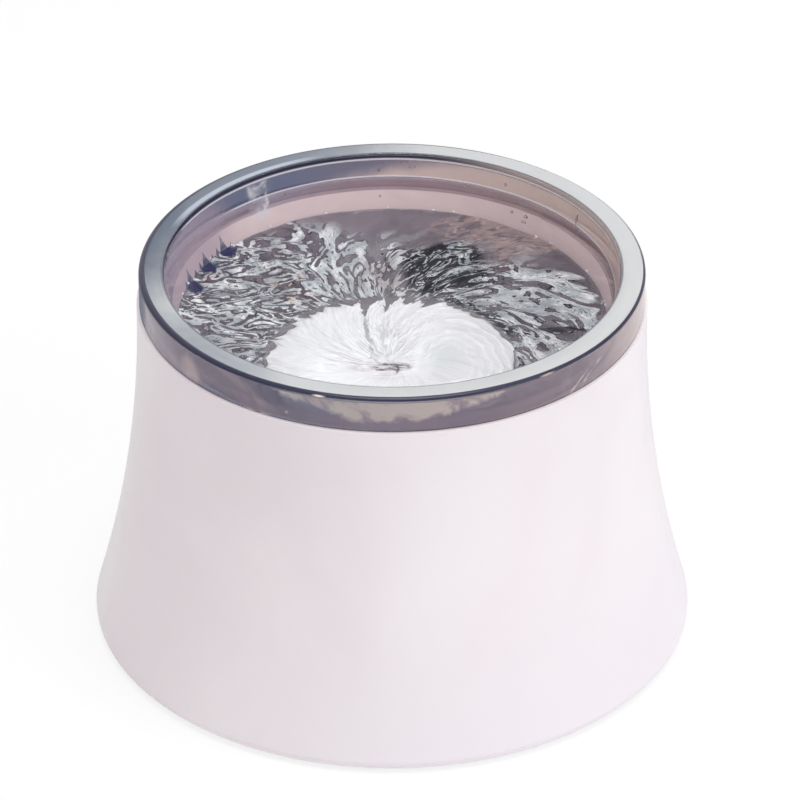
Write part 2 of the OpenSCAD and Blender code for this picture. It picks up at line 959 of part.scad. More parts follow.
module power_button() {
    color("white")
    at_panel()
    translate([0, 0, button_z]) {
        difference() {
            panel_rod(button_d, button_out, button_flange_y + 0.5);
            // Shallow dish for the fingertip
            translate([0, -button_out + button_d * 1.2 - 0.5, 0])
                sphere(r = button_d * 1.2);
        }
        panel_rod(button_flange_d, button_flange_y, button_flange_y + 0.8);
        panel_rod(plunger_d - 0.4, button_flange_y, plunger_tip);
    }
}

module status_led() {
    color("lightgreen")
    at_panel() {
        panel_slab(board_front - led_h / 2, board_front)
            square([3.2, 1.8], center = true);
        panel_rod(1.5, board_front - led_h, board_front - led_h / 2);
    }
}

module light_pipe() {
    color("white", 0.6)
    at_panel() {
        panel_rod(pipe_d, panel_inset, board_front - led_h - 0.3);
    }
}

// ---------- drive rotor ----------

module motor_shaft() {
    color("silver")
    rod(shaft_d / 2, drive_shaft_low, hub_top - 1.2);
}

module drive_hub() {
    color("darkslategray")
    difference() {
        union() {
            rotate_extrude() {
                translate([0, hub_z])
                    square([hub_d / 2 - 1, hub_h]);
                translate([0, hub_z + 1])
                    square([hub_d / 2, hub_h - 2]);
                for (z = [hub_z + 1, hub_top - 1])
                    translate([hub_d / 2 - 1, z])
                        circle(r = 1);
            }
            rod(5, hub_z - hub_under + 1.6, hub_z + 1);
        }
        rod(shaft_d / 2 + 0.01, hub_z - hub_under, hub_top + 1);
        around(magnet_n)
            translate([magnet_r, 0, 0])
                rod(magnet_d / 2 + 0.05, hub_top - magnet_h - 0.3, hub_top + 1);
    }
}

module drive_magnets() {
    color("silver")
    around(magnet_n)
        translate([magnet_r, 0, 0])
            rod(magnet_d / 2, hub_top - magnet_h - 0.2, hub_top - 0.2);
}

// ---------- bowl ----------

module bowl() {
    color("rosybrown", 0.45)
    difference() {
        union() {
            rotate_extrude($fn = 180)
                union() {
                    bowl_area(bowl_wall, overall_h - bowl_wall);
                    // Folded rim and outer skirt, with the outer corner rounded
                    difference() {
                        translate([wall_r(overall_h - bowl_wall, 0), overall_h - skirt_h])
                            square([rim_r - wall_r(overall_h - bowl_wall, 0), skirt_h - rim_round]);
                        polygon([
                            [0, overall_h - skirt_h - 1],
                            [rim_r - bowl_wall, overall_h - skirt_h - 1],
                            [rim_r - bowl_wall, overall_h - bowl_wall],
                            [0, overall_h - bowl_wall]
                        ]);
                    }
                    translate([wall_r(overall_h - bowl_wall, 0), overall_h - bowl_wall])
                        square([rim_r - rim_round - wall_r(overall_h - bowl_wall, 0), bowl_wall]);
                    translate([rim_r - rim_round, overall_h - rim_round])
                        circle(r = rim_round);
                }
        }
        difference() {
            rotate_extrude($fn = 180)
                bowl_area(0, overall_h + 1);
            rod(pin_d / 2 + 2.5, floor_z - bowl_wall, boss_top);
        }
        rod(pin_d / 2 + 0.01, pin_low, boss_top + 1);
    }
}

module pump_shaft() {
    color("white")
    rod(pin_d / 2, pin_low, pin_top);
}

module water() {
    color("lightblue", 0.3)
    difference() {
        rotate_extrude($fn = 180)
            bowl_area(-seat_gap, water_z);
        rod(cap_r + seat_gap, floor_z - 1, cap_top + seat_gap);
    }
}

// ---------- impeller ----------

module impeller() {
    color("royalblue")
    difference() {
        union() {
            rod(impeller_d / 2, rotor_z, rotor_top);
            rod(bush_d / 2 + 1.4, rotor_z, vane_top);
            around(vane_n)
                translate([bush_d / 2 + 0.5, -vane_t / 2, rotor_top - 0.5])
                    cube([impeller_d / 2 - bush_d / 2 - 1.2, vane_t, vane_h + 0.5]);
        }
        rod(bush_d / 2 + 0.01, rotor_z - 1, vane_top + 1);
        around(magnet_n)
            translate([rotor_magnet_r, 0, 0])
                rod(rotor_magnet_d / 2 + 0.05, rotor_z - 1, rotor_z + rotor_magnet_h + 0.2);
    }
}

module impeller_bush() {
    color("tan")
    ring(pin_d / 2 + run_gap, bush_d / 2, bush_z, bush_top);
}

module impeller_magnets() {
    color("dimgray")
    around(magnet_n)
        translate([rotor_magnet_r, 0, 0])
            rod(rotor_magnet_d / 2, rotor_z + 0.1, rotor_z + rotor_magnet_h + 0.1);
}

// ---------- pump housing ----------

module pump_housing() {
    color("whitesmoke")
    difference() {
        union() {
            rod(pump_d / 2, pump_low, pump_top);
            rod(riser_d / 2, pump_top - 1, riser_top);
        }
        difference() {
            union() {
                rod(pump_d / 2 - pump_wall, pump_low - 1, spider_z);
                rod(riser_d / 2 - riser_wall, pump_low, riser_top + 1);
            }
            // Three-armed bearing for the top of the pump shaft
            rod(pin_d / 2 + 1.8, spider_z, spider_z + spider_h);
            around(3)
                translate([0, -0.8, spider_z])
                    cube([riser_d / 2, 1.6, spider_h]);
        }
        rod(pin_d / 2 + run_gap, spider_z - 1, spider_z + spider_h + 1);
        wall_slots(8, 4, pump_d / 2 - pump_wall, pump_d / 2, pump_low + 1.6, pump_low + 5.6);
    }
}

// ---------- filter ----------

module filter_box() {
    color("white")
    difference() {
        union() {
            ring(well_r, filter_r, filter_low, filter_low + filter_floor_t);
            ring(filter_r - filter_wall, filter_r, filter_low, filter_top);
            ring(well_r, well_r + well_wall, filter_low, casing_top - 1);
        }
        wall_slots(
            slot_n, slot_w, filter_r - filter_wall, filter_r,
            filter_low + filter_floor_t + 3, filter_top - cap_skirt - 2
        );
        wall_slots(8, 4, well_r, well_r + well_wall, filter_low + filter_floor_t, filter_low + 8);
    }
}

module filter_casing() {
    color("lightsteelblue")
    difference() {
        union() {
            ring(casing_in, casing_out, casing_z, casing_z + casing_t);
            ring(casing_in, casing_in + casing_t, casing_z, casing_top);
            ring(casing_out - casing_t, casing_out, casing_z, casing_top);
        }
        wall_slots(36, 2.2, casing_out - casing_t, casing_out, casing_z + 3, casing_top - 3);
        wall_slots(16, 2.2, casing_in, casing_in + casing_t, casing_z + 3, casing_top - 3);
    }
}

module filter_foam() {
    color("dimgray")
    ring(foam_in, foam_out, media_z, media_top);
}

module carbon_media() {
    color("black")
    ring(media_in, media_out, media_z, media_top);
}

module filter_lid() {
    color("white")
    difference() {
        ring(casing_in, casing_out, casing_top, casing_top + lid_t);
        around(24)
            for (r = [media_in + 3, foam_in + foam_t / 2])
                translate([r, 0, 0])
                    rod(1.4, casing_top - 1, casing_top + lid_t + 1);
    }
}

// ---------- swirl cap ----------

// Half section of the crown, raised by up, between two radii
module crown_area(up, r_low, r_high) {
    intersection() {
        translate([crown_x, crown_z])
            circle(r = crown_R + up, $fn = 360);
        translate([r_low, cap_low])
            square([r_high - r_low, crown_h + cap_t + up + 1]);
    }
}

// One curved blade seen from above, wider towards its tip
module blade_area() {
    wide_arc = blade_arc * 1.12;
    intersection() {
        difference() {
            translate([0, wide_arc - blade_t])
                circle(r = wide_arc, $fn = 180);
            translate([0, blade_arc])
                circle(r = blade_arc, $fn = 180);
            circle(r = nozzle_out - 0.5);
        }
        circle(r = cap_r, $fn = 180);
        translate([0, -blade_t])
            square([cap_r, cap_r]);
    }
}

module swirl_cap() {
    color("white")
    difference() {
        union() {
            rotate_extrude($fn = 180)
                difference() {
                    crown_area(0, nozzle_in, cap_skirt_out);
                    translate([crown_x, crown_z])
                        circle(r = crown_R - cap_t, $fn = 360);
                }
            ring(cap_skirt_in, cap_skirt_out, cap_low - cap_skirt, cap_low + cap_t - 0.2);
            ring(nozzle_in, nozzle_out, riser_top - 3, nozzle_z + cap_t);
            rod(nozzle_out, nozzle_z, nozzle_z + cap_t);
            intersection() {
                translate([0, 0, cap_low])
                    linear_extrude(height = crown_h + cap_t + blade_h + 1)
                        union() {
                            around(blade_n)
                                blade_area();
                        }
                rotate_extrude($fn = 180)
                    difference() {
                        crown_area(blade_h, nozzle_out - 0.5, cap_r);
                        translate([crown_x, crown_z])
                            circle(r = crown_R - cap_t / 2, $fn = 360);
                    }
            }
        }
        // Outlet slots
        around(6)
            translate([1.8, -0.6, nozzle_z - 1])
                cube([nozzle_in - 3, 1.2, cap_t + 2]);
    }
}

outer_shell();
cradle();
bottom_plate();
foot_pads();
base_screws();
motor_bracket();
bracket_screws();
drive_motor();
motor_screws();
battery_holder();
holder_screws();
battery_cells();
battery_contacts();
battery_leads();
motor_leads();
rear_panel();
panel_screws();
control_board();
board_screws();
board_components();
charge_socket();
button_switch();
status_led();
light_pipe();
motor_shaft();
drive_hub();
drive_magnets();
power_button();
switch_plunger();
bowl();
pump_shaft();
water();
impeller();
impeller_bush();
impeller_magnets();
pump_housing();
filter_box();
filter_casing();
filter_foam();
carbon_media();
filter_lid();
swirl_cap();
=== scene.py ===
"""Dressed model of a pet water fountain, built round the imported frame.

The classes hold their sizes in millimetres, in the frame's own axes: +Z up, -Y to the front,
origin in the middle of the footprint. Meshes are made in metres, and the finishes read metres.
"""

import logging
import math
from dataclasses import dataclass
from enum import Enum
from typing import Any, Callable, Mapping, Optional, Sequence, Union

import bmesh
import bpy
import numpy as np
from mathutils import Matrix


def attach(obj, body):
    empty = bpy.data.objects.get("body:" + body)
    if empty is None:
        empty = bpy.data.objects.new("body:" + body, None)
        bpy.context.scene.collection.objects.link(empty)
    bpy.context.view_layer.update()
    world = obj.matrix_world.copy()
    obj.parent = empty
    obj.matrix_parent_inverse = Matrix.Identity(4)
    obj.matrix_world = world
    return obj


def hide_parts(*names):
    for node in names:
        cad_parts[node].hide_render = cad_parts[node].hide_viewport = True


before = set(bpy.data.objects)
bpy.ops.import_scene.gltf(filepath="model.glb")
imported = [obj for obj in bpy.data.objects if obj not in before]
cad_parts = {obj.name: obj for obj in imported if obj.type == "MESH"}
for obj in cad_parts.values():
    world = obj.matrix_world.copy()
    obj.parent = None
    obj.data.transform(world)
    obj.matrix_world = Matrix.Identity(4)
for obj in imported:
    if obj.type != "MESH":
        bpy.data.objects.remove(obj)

MM = 0.001
WATER_IOR = 1.333
# gap between the wall and what lies on it, in millimetres
WALL_GAP = 0.06
WHITE = (1.0, 1.0, 1.0, 1.0)
LOG = logging.getLogger("fountain")
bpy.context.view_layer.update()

Number = Union[float, int]
Colour = tuple[float, float, float, float]
Point = tuple[float, float, float]
# Two values between which a zone fades in
Fade = tuple[float, float]
# Low end, high end and soft edge of a zone
Band = tuple[float, float, float]


def tone(red: float, green: float, blue: float) -> Colour:
    """A shader colour from display values.

    Args:
        red, green, blue: display values of 0 to 255.

    Returns:
        The linear colour: each value to the power 2.4 after the display curve's offset.
    """
    shares = np.array([red, green, blue]) / 255.0
    linear = np.where(shares <= 0.04045, shares / 12.92, ((shares + 0.055) / 1.055) ** 2.4)
    return (*linear.tolist(), 1.0)


def shaded(colour: Colour, share: float, lift: float = 0.0) -> Colour:
    """A colour with each part times share, plus lift."""
    return (*(part * share + lift for part in colour[:3]), 1.0)


# ---------------------------------------------------------------- shader maths


class Rays(Enum):
    """The groups of light rays that a shader tells apart."""

    SEEN = ("Is Camera Ray", "Is Glossy Ray", "Is Transmission Ray")
    SHADE = ("Is Shadow Ray", "Is Diffuse Ray")


def operator(kind: str, swapped: bool = False) -> Callable[["Term", "Value"], "Term"]:
    """A method that joins a Term and another value by one Math node.

    Args:
        kind: the node's operation.
        swapped: whether the other value comes first, as in a reflected operator.

    Returns:
        The method.
    """

    def method(term: "Term", other: "Value") -> "Term":
        """The node's result."""
        pair = (other, term) if swapped else (term, other)
        return term.graph.math(kind, *pair)

    return method


class Term:
    """A shader socket that can stand in an expression; each operator adds one Math node."""

    def __init__(self, graph: "Graph", socket: bpy.types.NodeSocket) -> None:
        """Keeps the graph and the socket."""
        self.graph = graph
        self.socket = socket

    __add__ = __radd__ = operator("ADD")
    __sub__, __rsub__ = operator("SUBTRACT"), operator("SUBTRACT", swapped=True)
    __mul__ = __rmul__ = operator("MULTIPLY")
    __truediv__, __rtruediv__ = operator("DIVIDE"), operator("DIVIDE", swapped=True)
    __pow__, __rpow__ = operator("POWER"), operator("POWER", swapped=True)

    def __neg__(self) -> "Term":
        """Negative."""
        return self * -1.0

    def __abs__(self) -> "Term":
        """Size without the sign."""
        return self.graph.math("ABSOLUTE", self)


Value = Union[Term, Number]
Settings = Mapping[Union[str, int], Any]


class Graph:
    """The node tree of one material or of the world."""

    def __init__(self, tree: bpy.types.NodeTree) -> None:
        """Starts from an empty tree."""
        self.tree = tree
        tree.nodes.clear()

    def node(
        self, kind: str, settings: Optional[Settings] = None, values: Optional[Settings] = None
    ) -> bpy.types.Node:
        """Adds one node.

        Args:
            kind: the node's type.
            settings: its properties, set first.
            values: what its sockets take: a Term, a socket or a plain value.

        Returns:
            The node.
        """
        made = self.tree.nodes.new(kind)
        for key, value in (settings or {}).items():
            setattr(made, key, value)
        for key, value in (values or {}).items():
            socket = made.inputs[key]
            source = value.socket if isinstance(value, Term) else value
            if isinstance(source, bpy.types.NodeSocket):
                self.tree.links.new(source, socket)
            else:
                socket.default_value = source
        return made

    def term(
        self, kind: str, settings: Any = None, values: Any = None, output: Union[int, str] = 0
    ) -> Term:
        """The same as node, but returns one of its outputs as a Term."""
        return Term(self, self.node(kind, settings, values).outputs[output])

    def math(self, operation: str, a: Value, b: Value = 0.0) -> Term:
        """One Math node."""
        return self.term("ShaderNodeMath", {"operation": operation}, {0: a, 1: b})

    def vector(self, operation: str, a: Any, b: Any, output: int = 0) -> Term:
        """One Vector Math node."""
        return self.term("ShaderNodeVectorMath", {"operation": operation}, {0: a, 1: b}, output)

    def stretch(self, place: Term, factors: Sequence[float]) -> Term:
        """A place with x, y and z times a factor each."""
        return self.vector("MULTIPLY", place, tuple(factors))

    def sine(self, value: Value) -> Term:
        """Sine of an angle in radians."""
        return self.math("SINE", value)

    def most(self, first: Value, *others: Value) -> Value:
        """The largest of some values.

        Args:
            first, others: the values.

        Returns:
            The largest, by a chain of Math nodes.
        """
        for other in others:
            first = self.math("MAXIMUM", first, other)
        return first

    def radius(self, x: Term, y: Term, least: float = 0.0) -> Term:
        """Distance from the axis: the square root of x x + y y + least, never 0 with a least."""
        return self.math("SQRT", x * x + y * y + least)

    def join(self, x: Value, y: Value, z: Value) -> Term:
        """A vector from three numbers."""
        return self.term("ShaderNodeCombineXYZ", None, {0: x, 1: y, 2: z})

    def step(self, value: Value, low: float, high: float) -> Term:
        """A smooth step.

        Args:
            value: what the step is taken of.
            low, high: where it starts and ends; high below low turns it round.

        Returns:
            0 up to low, 1 from high on and t t (3 - 2 t) between.
        """
        ends = {1: min(low, high), 2: max(low, high), 3: float(low > high), 4: float(low < high)}
        rise = {"interpolation_type": "SMOOTHSTEP"}
        return self.term("ShaderNodeMapRange", rise, {0: value, **ends})

    def band(self, value: Value, low: float, high: float, edge: float) -> Term:
        """1 between low and high, fading to 0 over edge on both sides."""
        return self.step(value, low - edge, low) * self.step(value, high + edge, high)

    def mix(self, factor: Value, a: Any, b: Any) -> Term:
        """A colour between a and b."""
        return self.term("ShaderNodeMix", {"data_type": "RGBA"}, {0: factor, 6: a, 7: b}, 2)

    def paint(self, colour: Any, *coats: tuple[Value, Any]) -> Any:
        """Lays coats over a colour, one after another.

        Args:
            colour: the ground.
            coats: each a factor and a colour.

        Returns:
            The colour that shows.
        """
        for factor, coat in coats:
            colour = self.mix(factor, colour, coat)
        return colour

    def noise(
        self, vector: Any, scale: float, detail: float = 3.0, rough: float = 0.5, warp: float = 0.0
    ) -> Term:
        """Cloudy noise, 0 to 1."""
        values = {"Vector": vector, "Scale": scale, "Detail": detail, "Roughness": rough}
        return self.term("ShaderNodeTexNoise", None, {**values, "Distortion": warp})

    def drum(self, place: Term, across: float, along: float, twist: float) -> Term:
        """Turned coordinates round the axis, seamless, that stretch a pattern outwards.

        Args:
            place: position on the piece.
            across: scale of x / r and y / r.
            along: scale of the radius.
            twist: turn for each metre of radius.

        Returns:
            (x / r across, y / r across, r along), turned by twist r.
        """
        x, y, _ = self.axes(place)
        r = self.radius(x, y, 1e-6)
        c, s = self.math("COSINE", r * twist), self.sine(r * twist)
        return self.join((x * c - y * s) / r * across, (x * s + y * c) / r * across, r * along)

    def near(
        self, place: Term, spot: Sequence[float], inner: float, outer: float, warp: Value = 0.0
    ) -> Term:
        """1 within inner of a spot, fading to 0 at outer; warp shifts the edge."""
        away = self.vector("DISTANCE", place, tuple(spot), 1)
        return self.step(away + warp, outer, inner)

    def cells(self, vector: Any, scale: float) -> Term:
        """Distance to the nearest of scattered points."""
        return self.term("ShaderNodeTexVoronoi", None, {"Vector": vector, "Scale": scale})

    def facing(self, blend: float) -> Term:
        """0 where the surface faces the eye, rising to 1 at its outline."""
        return self.term("ShaderNodeLayerWeight", None, {"Blend": blend}, "Facing")

    def place(self) -> Term:
        """Position on the piece, in metres in the frame's axes."""
        return self.term("ShaderNodeTexCoord", None, None, "Object")

    def axes(self, vector: Term) -> tuple[Term, Term, Term]:
        """The three parts of a vector."""
        split = self.node("ShaderNodeSeparateXYZ", None, {0: vector})
        return tuple(Term(self, socket) for socket in split.outputs)

    def bump(self, height: Value, strength: float, distance: float) -> Term:
        """A normal bent by a height in metres."""
        values = {"Height": height, "Strength": strength, "Distance": distance}
        return self.term("ShaderNodeBump", None, values)

    def surface(self, **values: Any) -> bpy.types.NodeSocket:
        """A Principled shader; an underscore in a name stands for a space."""
        named = {key.replace("_", " "): value for key, value in values.items()}
        return self.node("ShaderNodeBsdfPrincipled", None, named).outputs[0]

    def clear(self, colour: Colour) -> bpy.types.NodeSocket:
        """A Transparent shader."""
        return self.node("ShaderNodeBsdfTransparent", None, {0: colour}).outputs[0]

    def glow(self, kind: str, colour: Colour, strength: float) -> bpy.types.NodeSocket:
        """A shader that gives light: Emission, or Background for the world."""
        return self.node(f"ShaderNode{kind}", None, {0: colour, 1: strength}).outputs[0]

    def blend(self, factor: Value, a: Any, b: Any) -> bpy.types.NodeSocket:
        """A Mix Shader."""
        return self.node("ShaderNodeMixShader", None, {0: factor, 1: a, 2: b}).outputs[0]

    def ray(self, rays: Rays) -> Term:
        """1 for a ray of any kind in the group, else 0."""
        path = self.node("ShaderNodeLightPath")
        return self.most(*(Term(self, path.outputs[kind]) for kind in rays.value))

    def output(self, shader: Any, kind: str = "ShaderNodeOutputMaterial") -> None:
        """Joins the shader to the tree's output."""
        self.node(kind, None, {"Surface": shader})


# ---------------------------------------------------------------- surfaces


def grid_faces(rows: int, columns: int, wrap_rows: bool, wrap_columns: bool) -> np.ndarray:
    """Quads of a grid of points.

    Args:
        rows, columns: size of the grid.
        wrap_rows, wrap_columns: whether the last row or column joins the first.

    Returns:
        One row of four point numbers for each quad: (i, j), (i+1, j), (i+1, j+1), (i, j+1).
    """
    i = np.arange(rows if wrap_rows else rows - 1)
    j = np.arange(columns if wrap_columns else columns - 1)
    i, j = (part.ravel() for part in np.meshgrid(i, j, indexing="ij"))
    next_i, next_j = (i + 1) % rows, (j + 1) % columns
    near, far = i * columns, next_i * columns
    return np.stack([near + j, far + j, far + next_j, near + next_j], axis=1)


def mesh_piece(
    name: str,
    points: np.ndarray,
    faces: np.ndarray,
    merge: float = 1e-6,
    values: Optional[Mapping[str, np.ndarray]] = None,
) -> bpy.types.Object:
    """Makes a smooth mesh object with outward faces.

    Args:
        name: the piece's name.
        points: positions in millimetres, one row each.
        faces: quads as point numbers.
        merge: distance in metres under which points become one, which closes seams and poles.
        values: attributes by name, one number for each point.

    Returns:
        The object, at the origin, linked to the scene.
    """
    mesh = bpy.data.meshes.new(name)
    mesh.vertices.add(len(points))
    mesh.vertices.foreach_set("co", (points * MM).astype(np.float32).ravel())
    mesh.loops.add(faces.size)
    mesh.loops.foreach_set("vertex_index", faces.astype(np.int32).ravel())
    mesh.polygons.add(len(faces))
    starts = np.arange(0, faces.size, faces.shape[1], dtype=np.int32)
    mesh.polygons.foreach_set("loop_start", starts)
    mesh.update(calc_edges=True)
    for key, numbers in (values or {}).items():
        attribute = mesh.attributes.new(key, "FLOAT", "POINT")
        attribute.data.foreach_set("value", numbers.astype(np.float32))
    mesh.validate()
    body = bmesh.new()
    body.from_mesh(mesh)
    bmesh.ops.remove_doubles(body, verts=body.verts, dist=merge)
    bmesh.ops.recalc_face_normals(body, faces=body.faces)
    body.to_mesh(mesh)
    body.free()
    mesh.polygons.foreach_set("use_smooth", np.ones(len(mesh.polygons), dtype=bool))
    piece = bpy.data.objects.new(name, mesh)
    bpy.context.scene.collection.objects.link(piece)
    return piece


def turns(steps: int) -> np.ndarray:
    """A column of evenly spread angles round the axis, 2 pi k / steps."""
    return np.linspace(0.0, 2.0 * np.pi, steps, endpoint=False)[:, None]


def polar(r: np.ndarray, angle: np.ndarray, z: np.ndarray) -> np.ndarray:
    """Points (r cos angle, r sin angle, z), with x, y and z along a new last axis."""
    return np.stack(np.broadcast_arrays(r * np.cos(angle), r * np.sin(angle), z), axis=-1)


def turned(name: str, profile: np.ndarray, steps: int) -> bpy.types.Object:
    """A solid of revolution.

    Formula: point (k, j) = (r_j cos a_k, r_j sin a_k, z_j), with a_k = 2 pi k / steps.

    Args:
        name: the piece's name.
        profile: closed half section, one row (r, z) for each point.
        steps: points round the axis.

    Returns:
        The object.
    """
    points = polar(profile[None, :, 0], turns(steps), profile[None, :, 1])
    return mesh_piece(name, points.reshape(-1, 3), grid_faces(steps, len(profile), True, True))


def arc(
    centre: tuple[float, float], radius: float, start: float, end: float, count: int
) -> np.ndarray:
    """Points on an arc: centre + radius (cos a, sin a), with a from start to end in degrees."""
    a = np.radians(np.linspace(start, end, count))
    return np.stack([centre[0] + radius * np.cos(a), centre[1] + radius * np.sin(a)], axis=1)


def line(start: Sequence[float], end: Sequence[float], count: int) -> np.ndarray:
    """Points on a straight line: start + t (end - start), with one more close to each end.

    The close points keep the smooth shading of a neighbouring arc off the flat.

    Args:
        start, end: the line's ends.
        count: number of evenly spread points.

    Returns:
        One row for each point.
    """
    t = np.unique(np.concatenate([[0.0, 0.01, 0.99, 1.0], np.linspace(0.0, 1.0, count)]))[:, None]
    return (1.0 - t) * np.array(start, float) + t * np.array(end, float)


def path(start: Sequence[float], *stops: tuple[Any, int]) -> np.ndarray:
    """Joins points and arcs by straight lines.

    Args:
        start: the first point.
        stops: each a point or the rows of an arc, and the number of points of the line to it.

    Returns:
        One row for each point, without those under a ten-thousandth from the one before.
    """
    runs = [np.atleast_2d(start)]
    for stop, count in stops:
        run = np.atleast_2d(stop)
        runs += [line(runs[-1][-1], run[0], count), run]
    points = np.concatenate(runs)
    keep = np.ones(len(points), dtype=bool)
    keep[1:] = np.linalg.norm(np.diff(points, axis=0), axis=1) > 1e-4
    return points[keep]


def smooth(value: np.ndarray, low: float, high: float) -> np.ndarray:
    """0 at low, 1 at high, with t t (3 - 2 t) between."""
    t = np.clip((value - low) / (high - low), 0.0, 1.0)
    return t * t * (3.0 - 2.0 * t)


def bell(value: np.ndarray, middle: Union[float, np.ndarray], width: float) -> np.ndarray:
    """Bell curve: e to the power of minus the square of (value - middle) / width."""
    return np.exp(-(((value - middle) / width) ** 2))


# ---------------------------------------------------------------- finishes


@dataclass(frozen=True)
class Finish:
    """A named finish; each kind draws its own shader."""

    name: str

    def shader(self, g: Graph) -> bpy.types.NodeSocket:
        """The shader, drawn in the material's graph g."""
        raise NotImplementedError

    def material(self) -> bpy.types.Material:
        """Makes the material.

        Returns:
            A material of the finish's name with its shader.
        """
        material = bpy.data.materials.new(self.name)
        material.use_nodes = True
        graph = Graph(material.node_tree)
        graph.output(self.shader(graph))
        return material


@dataclass(frozen=True)
class Moulded(Finish):
    """Moulded plastic: a colour, a grain and faint flow clouds."""

    colour: Colour
    rough: float = 0.35
    grain: float = 900.0
    depth: float = 0.00004
    shade: float = 0.06
    coat: float = 0.0

    def shader(self, g: Graph) -> bpy.types.NodeSocket:
        """Varies colour and gloss by clouds and bends the normal by a fine grain.

        Args:
            g: the material's graph.

        Returns:
            The shader.
        """
        place = g.place()
        clouds = g.noise(place, scale=14.0, detail=4.0, rough=0.55, warp=0.6)
        dark = shaded(self.colour, 1.0 - 2.0 * self.shade)
        return g.surface(
            Base_Color=g.mix(g.step(clouds, 0.3, 0.7), dark, self.colour),
            Roughness=self.rough + (clouds - 0.5) * 0.16,
            Coat_Weight=self.coat,
            Normal=g.bump(g.noise(place, scale=self.grain, detail=2.0), 0.25, self.depth),
        )


@dataclass(frozen=True)
class Metal(Finish):
    """Metal with drawn or plated streaks along one axis."""

    colour: Colour
    rough: float = 0.3
    stretch: Point = (1.0, 1.0, 12.0)
    grain: float = 500.0

    def shader(self, g: Graph) -> bpy.types.NodeSocket:
        """Varies colour, gloss and height by streaked noise.

        Args:
            g: the material's graph.

        Returns:
            The shader.
        """
        drawn = g.stretch(g.place(), self.stretch)
        streaks = g.noise(drawn, scale=self.grain, detail=3.0, rough=0.6)
        dark = shaded(self.colour, 0.72)
        return g.surface(
            Base_Color=g.mix(g.step(streaks, 0.3, 0.7), dark, self.colour),
            Metallic=1.0,
            Roughness=self.rough + (streaks - 0.5) * 0.3,
            Normal=g.bump(streaks, 0.2, 0.00003),
        )


@dataclass(frozen=True)
class Granular(Finish):
    """Foam, granules or a pressed powder: cells with dark gaps."""

    colour: Colour
    gap: Colour
    scale: float = 700.0
    rough: float = 0.8
    depth: float = 0.0006

    def shader(self, g: Graph) -> bpy.types.NodeSocket:
        """Sets height and shade by the distance to each cell's middle.

        Args:
            g: the material's graph.

        Returns:
            The shader.
        """
        cell = g.cells(g.place(), self.scale)
        return g.surface(
            Base_Color=g.mix(g.step(cell, 0.35, 0.7), self.colour, self.gap),
            Roughness=self.rough + (0.5 - cell) * 0.2,
            Normal=g.bump(1.0 - cell, 0.6, self.depth),
        )


@dataclass(frozen=True)
class Lens(Finish):
    """Clear or tinted moulded plastic for small lenses."""

    colour: Colour
    clear: float = 0.8
    bend: float = 1.49

    def shader(self, g: Graph) -> bpy.types.NodeSocket:
        """Puts faint clouds into a clear body.

        Args:
            g: the material's graph.

        Returns:
            The shader.
        """
        clouds = g.noise(g.place(), scale=300.0, detail=2.0)
        return g.surface(
            Base_Color=g.mix(clouds, self.colour, shaded(self.colour, 0.5, 0.5)),
            Roughness=0.08 + clouds * 0.1,
            Transmission_Weight=self.clear,
            IOR=self.bend,
        )


@dataclass(frozen=True)
class ShellGloss(Finish):
    """Glossy white shell with faint flow clouds, orange peel, one small scuff and painted shade."""

    name: str = "glossy_white_shell"
    colour: Colour = tone(243, 238, 241)
    cloud: Colour = tone(238, 231, 235)
    # the foot colour and the outline colour after it are painted shade: darker low on the left and
    # at the outline
    foot: Colour = tone(235, 230, 235)
    outline_shade: Colour = tone(200, 196, 204)
    mark: Colour = tone(176, 168, 172)
    mark_place: Point = (-0.0925, -0.0665, 0.030)
    foot_height: Fade = (0.080, 0.005)
    foot_side: Fade = (-0.090, 0.0)

    def shader(self, g: Graph) -> bpy.types.NodeSocket:
        """Paints a little shade on the foot and along the outline, and sets the scuff.

        Args:
            g: the material's graph.

        Returns:
            The shader.
        """
        place = g.place()
        x, _, z = g.axes(place)
        clouds = g.noise(place, scale=9.0, detail=5.0, rough=0.5, warp=0.8)
        specks = g.noise(place, scale=420.0, detail=2.0)
        foot = g.step(z, *self.foot_height) * g.step(x, *self.foot_side)
        scuff = g.near(place, self.mark_place, 0.0009, 0.0017) * g.step(specks, 0.42, 0.6)
        # painted shade on the foot and along the outline; the scuff is wear
        colour = g.paint(
            self.cloud,
            (g.step(clouds, 0.35, 0.65), self.colour),
            (foot * 0.9, self.foot),
            (g.step(g.facing(0.5), 0.72, 1.0) * 0.35, self.outline_shade),
            (scuff, self.mark),
        )
        return g.surface(
            Base_Color=colour,
            Roughness=0.24 + (clouds - 0.5) * 0.12 + scuff * 0.3,
            Specular_IOR_Level=0.1,
            Coat_Weight=0.02,
            Coat_Roughness=0.08,
            Normal=g.bump(g.noise(place, scale=160.0, detail=2.0), 0.05, 0.0004),
        )


@dataclass(frozen=True)
class PaleFloor(Finish):
    """Pale floor that shows white to the eye, to gloss and to glass, and keeps a soft shadow."""

    name: str = "pale_floor"
    low: Colour = (0.93, 0.93, 0.93, 1.0)
    high: Colour = (0.95, 0.95, 0.95, 1.0)
    white_share: float = 0.8

    def shader(self, g: Graph) -> bpy.types.NodeSocket:
        """Mixes a matte floor with a white glow where it is seen.

        Args:
            g: the material's graph.

        Returns:
            The shader.
        """
        tint = g.mix(g.noise(g.place(), scale=3.0, detail=2.0), self.low, self.high)
        plain = g.surface(Base_Color=tint, Roughness=0.9, Specular_IOR_Level=0.0)
        return g.blend(g.ray(Rays.SEEN) * self.white_share, plain, g.glow("Emission", WHITE, 1.0))


# ---------------------------------------------------------------- view and light


